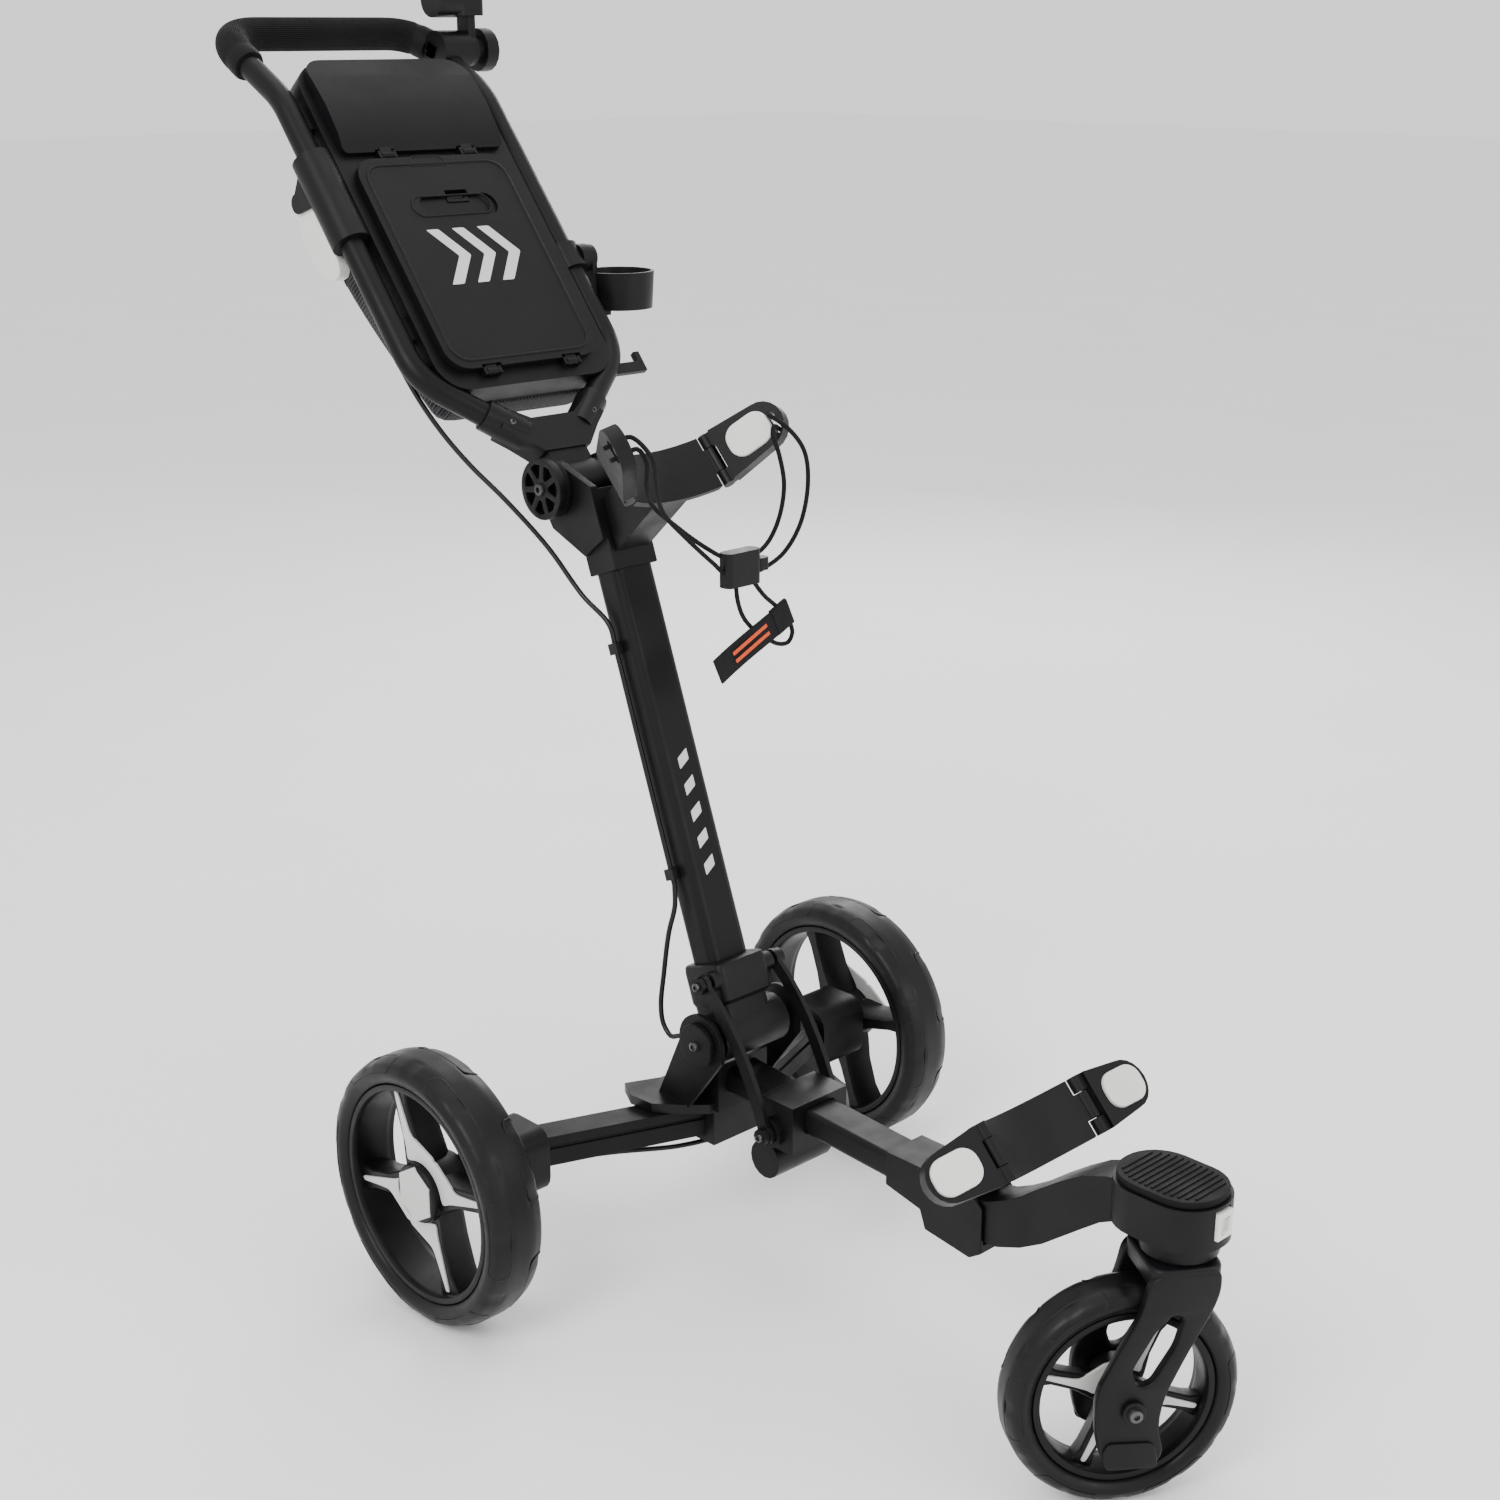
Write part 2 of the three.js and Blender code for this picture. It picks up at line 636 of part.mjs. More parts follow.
function foldDials() {
  const frame = frameAt(mainFrame, 0, highBack, highUp);
  const dial = (from, to) => {
    const disc = rod(27, Math.min(from, to), Math.max(from, to), 0, 0, 20);
    const windows = [];
    for (let i = 0; i < 8; i += 1) {
      const window = box([to < 0 ? to - 1 : to - 5, to < 0 ? to + 5 : to + 1], [-2.6, 2.6], [12, 21.5]);
      windows.push(window.rotateX((i * Math.PI) / 4));
    }
    return cut(disc, ...windows);
  };
  const shaft = rod(6, -34, 30, 0, 0, 16);
  add(frame, 'fold_dial_right', join(dial(-31, -45), shaft), blackPlastic);
  const socket = rod(6 + GAP, 25, 34, 0, 0, 16);
  add(frame, 'fold_dial_left', cut(dial(31, 45), socket), blackPlastic);
}

function cableClips() {
  const side = -TUBE.width / 2;
  const places = { lower: 148, upper: 352 };
  for (const [name, along] of Object.entries(places)) {
    const foot = box([side - 8, side - GAP], [TUBE.offset, TUBE.offset + 11], [along - 5, along + 5]);
    const pass = post(CABLE.radius + 0.7, along - 6, along + 6, side - 4, TUBE.offset + 6, 10);
    add(mainFrame, `cable_clip_${name}`, cut(foot, pass), blackPlastic);
  }
}

// ---------- bag cradles ----------

// A cradle's frame has +Y along the bag and +Z towards it.
function cradleFrame(y, z) {
  return frameAt(trolley, 0, y, z, CRADLE.tilt);
}

function cradleBand(stem) {
  const { half, sag, thick, width } = CRADLE;
  const radius = (half * half + sag * sag) / (2 * sag);
  const sweepAngle = Math.asin(half / radius);
  const steps = 8;
  const inner = [];
  const outer = [];
  for (let i = 0; i <= steps; i += 1) {
    const angle = -sweepAngle + (2 * sweepAngle * i) / steps;
    const ends = [radius, radius + thick];
    inner.push([ends[0] * Math.sin(angle), radius - sag - ends[0] * Math.cos(angle)]);
    outer.push([ends[1] * Math.sin(angle), radius - sag - ends[1] * Math.cos(angle)]);
  }
  const outline = polygon([...outer, ...inner.reverse()]);
  const band = upright(outline, -width / 2, width / 2).rotateX(Math.PI / 2);
  const knuckles = SIDES.map(([, sign]) => {
    const barrel = new THREE.CylinderGeometry(5.5, 5.5, width * 0.46, 12);
    return barrel.translate(sign * (half + 1), 0, -2.5);
  });
  const notches = [];
  for (const [, sign] of SIDES) {
    for (const way of [-1, 1]) {
      const across = [sign * (half - 6.5), sign * (half + 12)].sort((a, b) => a - b);
      const along = [way * (width * 0.23), way * (width / 2 + 1)].sort((a, b) => a - b);
      notches.push(box(across, along, [-14, 6]));
    }
  }
  return join(cut(band, ...notches), ...knuckles, stem);
}

// A pad turns on the band's end. It is drawn flat, pointing along +X from its hinge.
function cradlePad(length, hasCordHole) {
  const { width, tip, thick, button } = PAD;
  const start = 7.5;
  const end = tip / 2;
  const outline = new THREE.Shape();
  outline.moveTo(start, -width / 2);
  outline.lineTo(length - end, -tip / 2);
  outline.absarc(length - end, 0, end, -Math.PI / 2, Math.PI / 2);
  outline.lineTo(start, width / 2);
  const plate = upright(outline, -thick / 2 - 2.5, thick / 2 - 2.5, 5);
  const ears = [-1, 1].map((way) => {
    const outer = width / 2;
    const inner = width * 0.23 + 0.6;
    const ends = [way * inner, way * outer].sort((a, b) => a - b);
    const barrel = new THREE.CylinderGeometry(5.5, 5.5, ends[1] - ends[0], 12);
    const web = box([0, start + 2], ends, [-6, 1]);
    return join(barrel.translate(0, (ends[0] + ends[1]) / 2, -2.5), web);
  });
  const pocket = upright(roundedOutline(button[0] + 0.9, button[1] + 0.9, 13), -3.2, 20, 3);
  const cuts = [pocket.translate(38, 0, 0)];
  if (hasCordHole) {
    cuts.push(upright(roundedOutline(7, 22, 3.4), -30, 30).translate(length - 10, -4, 0));
  }
  return cut(join(plate, ...ears), ...cuts);
}

function padButton() {
  const [long, wide] = PAD.button;
  return upright(roundedOutline(long, wide, 13), 0, 6.5, 3).translate(38, 0, 0);
}

function addPads(frame, prefix, length, openings, hasCordHole) {
  for (const [side, sign] of SIDES) {
    const hinge = frameAt(frame, sign * (CRADLE.half + 1), 0, -2.5);
    hinge.rotation.set(0, -sign * openings[side], 0);
    const pad = cradlePad(length, hasCordHole);
    const button = padButton();
    const lift = 2.5;
    const padShape = (sign > 0 ? pad : mirrored(pad)).translate(0, 0, lift);
    const buttonShape = (sign > 0 ? button : mirrored(button)).translate(0, 0, lift);
    add(hinge, `${prefix}_pad_${side}`, padShape, blackPlastic);
    add(hinge, `${prefix}_button_${side}`, buttonShape, offWhite);
  }
}

const LOWER_CRADLE = { y: -457, z: 257, length: 64, left: rad(4), right: rad(-20) };
const UPPER_CRADLE = { y: -28, z: 717, length: 72, left: rad(60), right: rad(60) };

function lowerCradle() {
  const frame = cradleFrame(LOWER_CRADLE.y, LOWER_CRADLE.z);
  const stem = box([-13, 13], [-20, 22], [-58, -CRADLE.sag - 1]);
  const band = cradleBand(stem);
  add(frame, 'lower_cradle_band', band, blackPlastic);
  addPads(frame, 'lower_cradle', LOWER_CRADLE.length, LOWER_CRADLE, false);
}

function upperCradle() {
  const frame = cradleFrame(UPPER_CRADLE.y, UPPER_CRADLE.z);
  const sleeveFront = TUBE.offset - TUBE.depth / 2 - SLEEVE.proud - GAP;
  const behind = moved(box([-60, 60], [sleeveFront, sleeveFront + 120], [300, 700]), mainFrame, frame);
  const stem = cut(box([-19, 19], [-24, 20], [-100, -CRADLE.sag - 1]), behind);
  add(frame, 'upper_cradle_band', cradleBand(stem), blackPlastic);
  addPads(frame, 'upper_cradle', UPPER_CRADLE.length, UPPER_CRADLE, true);
}

// ---------- handle ----------

function framePoints(sign, early = 0) {
  const half = HANDLE.half * sign;
  const rise = GRIP.top - HANDLE.straightEnd - 12;
  const back = rise * Math.tan(GRIP.bend);
  return [
    [sign * (34 - 0.76 * early), 0, 56 - 0.65 * early],
    [half, 0, 122],
    [half, 0, HANDLE.straightEnd + 12],
    [half, back, GRIP.top],
  ];
}

const BENDS = [26, 16, GRIP.corner];
const frameCorners = [...framePoints(-1), ...framePoints(1).reverse()];
const frameRoute = bentRoute(frameCorners, [...BENDS, ...BENDS.toReversed()], 5);

// The tube of one side up to the console, grown for the sockets that hold it.
function sideTube(radius, sign) {
  return sweepRoute(radius, 12, bentRoute(framePoints(sign, GAP).slice(0, 3), BENDS, 5));
}

// The Y connector's sleeve around the lower end of one side's tube.
function tubeSleeve(radius, sign) {
  const [low, high] = vectors(framePoints(sign, 4));
  return sweepRoute(radius, 14, new Route([low, low.clone().lerp(high, 0.38)]));
}

function handleTube() {
  add(handleFrame, 'handle_frame', sweepRoute(HANDLE.tube, 12, frameRoute), satinAluminium);
}

function yConnector() {
  const { halfWidth } = HIGH_PIVOT;
  const barrel = rod(HIGH_PIVOT.barrel, -halfWidth, halfWidth, pivotBehind, pivotAlong);
  const neck = box([-halfWidth, halfWidth], [-10, 10], [0, 52]);
  const plate = upright(polygon([
    [-26, 30],
    [26, 30],
    [44, 48],
    [58, 60],
    [44, 76],
    [24, 64],
    [-24, 64],
    [-44, 76],
    [-58, 60],
    [-44, 48],
  ]), -12, 12).rotateX(Math.PI / 2);
  const sleeves = SIDES.map(([, sign]) => tubeSleeve(14.5, sign));
  const bore = rod(6 + GAP, -40, 40, pivotBehind, pivotAlong, 16);
  const sockets = SIDES.map(([, sign]) => sideTube(HANDLE.tube + GAP, sign));
  const body = cut(join(barrel, neck, plate, ...sleeves), bore, ...sockets);
  add(handleFrame, 'y_connector', body, blackPlastic);
}

function grip() {
  const inside = frameRoute.stations.filter((at) => at.z > GRIP.start + 6 && (at.x < 0 || at.z > 512));
  const startBack = (GRIP.start - HANDLE.straightEnd - 12) * Math.tan(GRIP.bend);
  const start = new THREE.Vector3(-HANDLE.half, startBack, GRIP.start);
  const route = new Route([start, ...inside]);
  const clamp = rod(UMBRELLA.radius + 1, UMBRELLA.inner - 1, UMBRELLA.outer);
  const beside = clamp.translate(0, UMBRELLA.y, UMBRELLA.z);
  const shell = cut(
    sweepRoute(GRIP.radius, 14, route),
    sweepRoute(HANDLE.tube + GAP, 12, frameRoute),
    moved(beside, trolley, handleFrame),
  );
  add(handleFrame, 'grip', shell, softBlack);
}

// ---------- console ----------

// An outline drawn in X and height along the handle, made solid from front to back.
function facing(outline, front, back, curveSegments = 3) {
  return upright(outline, -back, -front, curveSegments).rotateX(Math.PI / 2);
}

function panel(left, right, bottom, top, corner) {
  const outline = roundedOutline(left + right, top - bottom, corner);
  return { outline, x: (left - right) / 2, z: (bottom + top) / 2 };
}

function facingPanel({ outline, x, z }, front, back, curveSegments = 3) {
  return facing(outline, front, back, curveSegments).translate(x, 0, z);
}

const KNUCKLES = [-45, 45];
const KNUCKLE = { half: 6, radius: 3.6, out: -16, pin: 1.6 };

// The ears and the pin on the tray that one pair of knuckles turns on.
function trayEars(height) {
  const parts = [];
  for (const x of KNUCKLES) {
    for (const sign of [-1, 1]) {
      const ends = [x + sign * (KNUCKLE.half + 0.5), x + sign * (KNUCKLE.half + 3.5)].sort((a, b) => a - b);
      parts.push(box(ends, [-19, -TRAY.front + 1], [height - 3.5, height + 3.5]));
    }
    parts.push(rod(KNUCKLE.pin, x - KNUCKLE.half - 2, x + KNUCKLE.half + 2, KNUCKLE.out, height, 8));
  }
  return parts;
}

// The same knuckles on a lid, with the room that the ears need beside them.
function withKnuckles(shell, height) {
  const notches = KNUCKLES.map((x) => box([x - 10.5, x + 10.5], [-40, 0], [height - 8, height + 6]));
  const { radius, half, out } = KNUCKLE;
  const barrels = KNUCKLES.map((x) => rod(radius, x - half, x + half, out, height, 12));
  const webs = KNUCKLES.map((x) => box([x - half, x + half], [-18.5, -13.5], [height + 1, height + 8]));
  const bores = KNUCKLES.map((x) => rod(KNUCKLE.pin + GAP, x - 8, x + 8, KNUCKLE.out, height, 8));
  return cut(join(cut(shell, ...notches), ...barrels, ...webs), ...bores);
}

function consoleTray() {
  const { half, bottom, top, front, back, corner } = TRAY;
  const body = facingPanel(panel(half, half, bottom, top, corner), -front, back);
  const lower = facingPanel(panel(78, 78, 122, 330, 14), -front - 1, back - 3);
  const upper = facingPanel(panel(84, 84, 352, 432, 14), -front - 1, back - 3);
  const tabs = [];
  const tubes = [];
  for (const [, sign] of SIDES) {
    const ends = [sign * (half - 3), sign * HANDLE.half].sort((a, b) => a - b);
    for (const height of [170, 392]) {
      tabs.push(box(ends, [-6, 6], [height - 12, height + 12]));
    }
    tubes.push(sideTube(HANDLE.tube + GAP, sign), tubeSleeve(15.2, sign));
  }
  const tray = join(cut(body, lower, upper), ...tabs, ...trayEars(LID.hinge), ...trayEars(COVER.hinge));
  add(handleFrame, 'console_tray', cut(tray, ...tubes), blackPlastic);
}

const LATCH = { x: 7, half: 12, bottom: 286.5, top: 294, travel: 4 };

function consoleLid() {
  const shape = panel(LID.left, LID.right, LID.bottom, LID.top, 22);
  const front = -TRAY.front - 0.4;
  const sheet = facingPanel(shape, front - LID.thick, front);
  const hollow = panel(LID.left - 4, LID.right - 4, LID.bottom + 4, LID.top - 4, 18);
  const inside = facingPanel(hollow, front - 3.5, front + 1, 2);
  const boss = box([LATCH.x - 17, LATCH.x + 17], [front - 5, front], [280, 304]);
  const recess = facingPanel(panel(46.5, 38.5, 270.5, 293.5, 11), front - 10, front - LID.thick + 2.5, 3);
  const slot = box(
    [LATCH.x - LATCH.half - GAP, LATCH.x + LATCH.half + GAP],
    [-40, 0],
    [LATCH.bottom - GAP, LATCH.top + LATCH.travel + GAP],
  );
  const lid = cut(join(cut(sheet, inside), boss), recess, slot);
  add(handleFrame, 'console_lid', withKnuckles(lid, LID.hinge), blackPlastic);
}

function lidLatch() {
  const front = -TRAY.front - 0.4;
  const { x, half, bottom, top } = LATCH;
  const key = box([x - half, x + half], [front - 6.4, front - 0.6], [bottom, top]);
  const nail = box([x - 8, x + 8], [front - 8, front - 4.4], [top - 4, top + 1]);
  add(handleFrame, 'lid_latch', cut(key, nail), blackPlastic);
}

function consoleCover() {
  const front = -TRAY.front - 0.4;
  const { half, bottom, top } = COVER;
  const bulge = (inset) => polygon([
    [front, bottom + inset],
    [front - 4.5 + inset * 0.4, bottom + inset],
    [front - 9.5 + inset, bottom + 18],
    [front - 11.6 + inset, bottom + 48],
    [front - 9 + inset, bottom + 78],
    [front - 3 + inset * 0.5, top - inset],
    [front, top - inset],
  ]);
  const outer = sideways(bulge(0), -half, half);
  const roundTop = facingPanel(panel(half, half, bottom, top, 22), -60, 0);
  const squareFoot = facingPanel(panel(half, half, bottom, bottom + 50, 6), -60, 0);
  const plan = join(roundTop, squareFoot);
  const inner = sideways(bulge(3), -half + 3, half - 3).translate(0, 0.1, 0);
  const shell = cut(keepInside(outer, plan), inner);
  add(handleFrame, 'console_cover', withKnuckles(shell, COVER.hinge), blackPlastic);
}

// A wedge-shaped net pocket behind the tray, open at the top.
function meshBag() {
  const front = TRAY.back + GAP;
  const outside = [[front, 98], [32, 94], [44, 114], [78, 262], [78, 273], [front, 273]];
  const inside = [[front + 3, 101], [30, 98], [41, 115], [75, 262], [75, 280], [front + 3, 280]];
  const outer = sideways(polygon(outside), -86, 86);
  const inner = sideways(polygon(inside), -83, 83);
  add(handleFrame, 'mesh_bag', cut(outer, inner), meshFabric);
}

// ---------- brake lever and cables ----------

const BRAKE = { x: -HANDLE.half, bottom: 262, top: 352, radius: 18, pivotBack: 34, pivot: 330 };

function brakeHousing() {
  const sleeve = post(BRAKE.radius, BRAKE.bottom, BRAKE.top, BRAKE.x, 0, 20);
  const cheeks = [-1, 1].map((way) => {
    const outline = new THREE.Shape();
    outline.moveTo(8, BRAKE.pivot - 22);
    outline.lineTo(22, BRAKE.pivot - 14);
    outline.absarc(BRAKE.pivotBack, BRAKE.pivot, 9, -1.2, 1.9);
    outline.lineTo(8, BRAKE.top - 2);
    const ends = [BRAKE.x + way * 6.6, BRAKE.x + way * 9.5].sort((a, b) => a - b);
    return sideways(outline, ends[0], ends[1], 6);
  });
  const pin = rod(3, BRAKE.x - 9, BRAKE.x + 9, BRAKE.pivotBack, BRAKE.pivot, 12);
  const tube = post(HANDLE.tube + GAP, 200, 400, BRAKE.x, 0, 16);
  const tray = box([-TRAY.half - GAP, 0], [-60, 60], [200, 400]);
  add(handleFrame, 'brake_lever_housing', cut(join(sleeve, ...cheeks, pin), tube, tray), blackPlastic);
}

function brakeLever() {
  const outline = new THREE.Shape();
  const { pivotBack, pivot } = BRAKE;
  outline.moveTo(pivotBack - 8, pivot - 4);
  outline.lineTo(21.5, 316);
  outline.lineTo(20.5, 300);
  outline.lineTo(20.5, 264);
  outline.quadraticCurveTo(21, 250, 32, 249);
  outline.quadraticCurveTo(48, 251, 53, 272);
  outline.quadraticCurveTo(59, 298, 50, 318);
  outline.lineTo(pivotBack + 9, pivot);
  outline.absarc(pivotBack, pivot, 9, 0, Math.PI);
  const blade = sideways(outline, BRAKE.x - 6, BRAKE.x + 6, 6);
  const bore = rod(3 + GAP, BRAKE.x - 9, BRAKE.x + 9, pivotBack, pivot, 12);
  add(handleFrame, 'brake_lever', cut(blade, bore), offWhite);
}

const CLIP = { x: -TUBE.width / 2 - 4, back: TUBE.offset + 6, lower: 148, upper: 352 };

function brakeCables() {
  const behindTube = HANDLE.tube + 3.6;
  const upper = [
    handlePoint(BRAKE.x, behindTube, BRAKE.bottom - GAP),
    handlePoint(BRAKE.x, behindTube, 215),
    handlePoint(-111, 15, 158),
    handlePoint(-104, 20, 115),
    handlePoint(-91, 27, 82),
    handlePoint(-78, 27.6, 47),
    [-62, 118, 676],
    [-43, 84, 636],
    [-32, 52, 597],
    mainPoint(CLIP.x - 1, CLIP.back, CLIP.upper + 22),
    mainPoint(CLIP.x, CLIP.back, CLIP.upper),
    mainPoint(CLIP.x, CLIP.back, 290),
    mainPoint(CLIP.x, CLIP.back, 220),
    mainPoint(CLIP.x, CLIP.back, CLIP.lower),
    mainPoint(CLIP.x, CLIP.back, CLIP.lower - 9),
  ];
  const lower = [
    mainPoint(CLIP.x, CLIP.back, CLIP.lower - 9.8),
    [-29, -62, 336],
    [-33, -58, 310],
    [-36, -54, 270],
    [-38, -52, 240],
    [-39, -56, 224],
    [-39, -66, 215],
    [-39, -77, 219],
    [-39, -83.4, 220],
  ];
  const axle = [
    [169.4, -20, 116],
    [158, -20, 115],
    [94, -44, 111],
    [40, -78, 111],
    [0, -88, 111],
    [-40, -78, 111],
    [-94, -44, 111],
    [-158, -20, 115],
    [-169.4, -20, 116],
  ];
  const cable = (points, steps) => sweepRoute(CABLE.radius, CABLE.sides, splineRoute(points, steps));
  add(trolley, 'brake_cable_upper', cable(upper, 36), softBlack);
  add(trolley, 'brake_cable_lower', cable(lower, 14), softBlack);
  add(trolley, 'brake_cable_axle', cable(axle, 16), softBlack);
}

// ---------- accessories on the handle ----------

function cupHolder() {
  const clamp = post(15.5, 213, 239, HANDLE.half, 0, 18);
  const disc = rod(13, HANDLE.half + 8, 130.6, -4, 226, 20);
  const tube = post(HANDLE.tube + GAP, 190, 260, HANDLE.half, 0, 16);
  const tray = box([0, TRAY.half + GAP], [-60, 60], [190, 260]);
  add(handleFrame, 'cup_bracket', cut(join(clamp, disc), tube, tray), blackPlastic);

  const frame = frameAt(trolley, 0, CUP.y, CUP.z);
  const bottom = -14 - CUP.height;
  const band = turned([
    [bottom, CUP.radius - 5],
    [-14, CUP.radius - 3],
    [-14, CUP.radius],
    [bottom, CUP.radius - 2],
  ], 32).rotateY(-Math.PI / 2).translate(CUP.x, -6, 0);
  const boss = rod(12, 131, 137.5, 0, 0, 20);
  const strap = box([131, 136.5], [-12, 9], [bottom + 4, 0]);
  const lip = box([134.8, 150], [-15, 3], [bottom - 5, bottom + 3]);
  const inside = post(CUP.radius - 5.2, bottom + 1, 10, CUP.x, -6, 32);
  add(frame, 'cup_holder', join(cut(join(boss, strap), inside), band, lip), blackPlastic);
}

function umbrellaHolder() {
  const frame = frameAt(trolley, 0, UMBRELLA.y, UMBRELLA.z);
  const barrel = rod(UMBRELLA.radius, UMBRELLA.inner, UMBRELLA.outer);
  const tube = moved(sweepRoute(HANDLE.tube + GAP, 12, frameRoute), handleFrame, frame);
  const screwHole = rod(4 + GAP, 124.5, 140, 0, 0, 12);
  add(frame, 'umbrella_clamp', cut(barrel, tube, screwHole), blackPlastic);

  const armStart = UMBRELLA.outer + GAP;
  const armEnd = armStart + 9;
  const disc = rod(15, armStart, armEnd, 0, 0, 20);
  const arm = box([armStart + 0.2, armEnd - 0.2], [-9, 9], [3, 37]);
  const head = block(32, 28, 24, 7).translate(137, 0, 44);
  const ratchet = rod(17, 98, 126, 0, 47, 20);
  const cup = post(15, 54, 76, 137, 0);
  const bore = post(10, 47, 80, 137, 0, 16);
  const pass = rod(4 + GAP, 130, 150, 0, 0, 12);
  add(frame, 'umbrella_socket', cut(join(disc, arm, head, ratchet, cup), bore, pass), blackPlastic);

  const knobStart = armEnd + GAP;
  const collar = rod(13, knobStart, knobStart + 8);
  const wheel = rod(20.5, knobStart + 6, knobStart + 20);
  const knob = join(collar, wheel, rod(4, 126, 150, 0, 0, 12));
  add(frame, 'umbrella_knob', knob, blackPlastic);
}

function accessoryHook() {
  const arm = box([98, 140], [-3, 3], [100, 111]);
  const tip = box([133, 140], [-3, 3], [100, 121]);
  add(handleFrame, 'accessory_hook', cut(join(arm, tip), sideTube(HANDLE.tube + GAP, 1)), blackPlastic);
}

// ---------- bungee cord, its lock and its tab ----------

// The cord runs from the near pad through the lock to the far pad's slot, and back.
const bungeePoints = [
  [-98.4, -67.9, 740.4],
  [-88, -72.3, 744.5],
  [-77.6, -76.7, 748.6],
  [-70, -79, 738],
  [-62, -70, 714],
  [-47, -59, 696],
  [-25, -63, 676],
  [0, -73, 655],
  [20, -80, 643],
  [45, -81, 641],
  [65, -81, 650],
  [78, -82, 670],
  [82, -84, 698],
  [74, -86, 726],
  [70, -82, 744],
  [77.6, -76.7, 748.6],
  [88, -72.3, 744.5],
  [98.4, -67.9, 740.4],
  [105, -62, 742],
  [105, -59, 747],
  [98.4, -59.7, 749.2],
  [88, -64.1, 753.3],
  [77.6, -68.5, 757.4],
  [74, -78, 757],
  [82, -90, 747],
  [95, -95, 728],
  [100, -95, 700],
  [95, -91, 664],
  [80, -86, 640],
  [60, -82, 629],
  [40, -81, 626],
  [20, -82, 627],
  [2, -81, 642],
  [-22, -74, 666],
  [-44, -70, 690],
  [-62, -82, 716],
  [-71, -87, 742],
  [-77.6, -68.5, 757.4],
  [-88, -64.1, 753.3],
  [-98.4, -59.7, 749.2],
];

function bungee() {
  const route = splineRoute(bungeePoints, 62);
  add(trolley, 'bungee_cord', sweepRoute(CORD.radius, CORD.sides, route), softBlack);
  const passage = sweepRoute(CORD.radius + GAP, CORD.sides, route);
  const body = block(40, 15, 30, 6).translate(32, -81.5, 634);
  const button = block(14, 11, 11, 4).translate(56, -81.5, 634);
  const neck = block(12, 7, 7, 2).translate(50, -81.5, 634);
  add(trolley, 'cord_lock', cut(join(body, neck, button), passage), blackPlastic);
}

function webbingTab() {
  const strip = block(94, 2.5, 25, 1).rotateY(-rad(25)).translate(49, -81, 566);
  const legs = [[36, 570], [66, 584]].map(([x, z]) => post(2, z, 617.5, x, -81, 8));
  add(trolley, 'webbing_tab', join(strip, ...legs), webbing);
}

rearWheels();
axleBeam();
hubBlocks();
hingeBracket();
lowerPivotPin();
frontRail();
frontCollar();
frontArm();
casterPad();
swivelLatch();
casterFork();
frontWheel();
lowerKnuckle();
mainTube();
foldLinks();
linkSlider();
upperSocket();
foldDials();
cableClips();
lowerCradle();
upperCradle();
handleTube();
yConnector();
grip();
consoleTray();
consoleLid();
lidLatch();
consoleCover();
meshBag();
brakeHousing();
brakeLever();
brakeCables();
cupHolder();
umbrellaHolder();
accessoryHook();
bungee();
webbingTab();

// The middle of the footprint becomes the origin, on the ground.
const bounds = new THREE.Box3().setFromObject(trolley, true);
const middle = bounds.getCenter(new THREE.Vector3());
trolley.position.set(-middle.x, -middle.y, -bounds.min.z);

export default trolley;
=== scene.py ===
"""Looks for a three-wheeled golf push trolley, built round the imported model.

Everything is in metres, +Z up, travel direction -Y. Local shapes are drawn in millimetres
in the frame of the part that they belong to, and `place` puts them in the shared frame.
"""

import json
import math

import bmesh
import bpy
from mathutils import Matrix, Vector


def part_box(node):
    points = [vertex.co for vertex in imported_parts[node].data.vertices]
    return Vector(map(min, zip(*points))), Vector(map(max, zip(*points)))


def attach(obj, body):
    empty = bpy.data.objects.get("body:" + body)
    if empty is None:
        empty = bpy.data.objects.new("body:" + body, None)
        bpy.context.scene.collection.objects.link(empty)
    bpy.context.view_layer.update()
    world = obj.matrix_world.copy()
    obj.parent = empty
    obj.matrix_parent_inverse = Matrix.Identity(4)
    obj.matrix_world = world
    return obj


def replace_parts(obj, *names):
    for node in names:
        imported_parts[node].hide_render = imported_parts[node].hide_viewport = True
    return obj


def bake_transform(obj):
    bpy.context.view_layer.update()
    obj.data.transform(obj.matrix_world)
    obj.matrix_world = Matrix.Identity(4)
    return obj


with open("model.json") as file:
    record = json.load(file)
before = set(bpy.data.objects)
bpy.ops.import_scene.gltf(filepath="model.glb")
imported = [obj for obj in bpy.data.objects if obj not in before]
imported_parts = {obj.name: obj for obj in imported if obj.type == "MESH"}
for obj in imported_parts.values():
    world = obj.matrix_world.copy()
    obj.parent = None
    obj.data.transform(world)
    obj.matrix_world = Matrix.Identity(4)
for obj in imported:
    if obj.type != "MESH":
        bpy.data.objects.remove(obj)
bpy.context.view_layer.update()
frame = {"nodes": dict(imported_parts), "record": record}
MM = 0.001

tyre_low, tyre_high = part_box("rear_tyre_left")
AXLE_Y = (tyre_low.y + tyre_high.y) / 2 / MM

TUBE_LEAN = math.radians(20.1)
HANDLE_LEAN = math.radians(39)
CASTER_YAW = math.radians(57)
TAB_LEAN = math.radians(25)

LOWER_PIVOT = (0, -117, 228)
UPPER_PIVOT = (0, 90, 687)
CASTER_PIVOT = (0, -588, 0)
CASTER_TRAIL = 42

SPOKE_SPREAD = 48.5
HUB_HALF = 21.5
REAR_WHEEL_X = 253.75
REAR_WHEEL = {"radius": 121, "rim": 98, "width": 54, "hub": 27, "spoke": 12, "turn": math.radians(28)}
FRONT_WHEEL = {"radius": 92.5, "rim": 72, "width": 41, "hub": 19, "spoke": 9, "turn": math.radians(-23)}


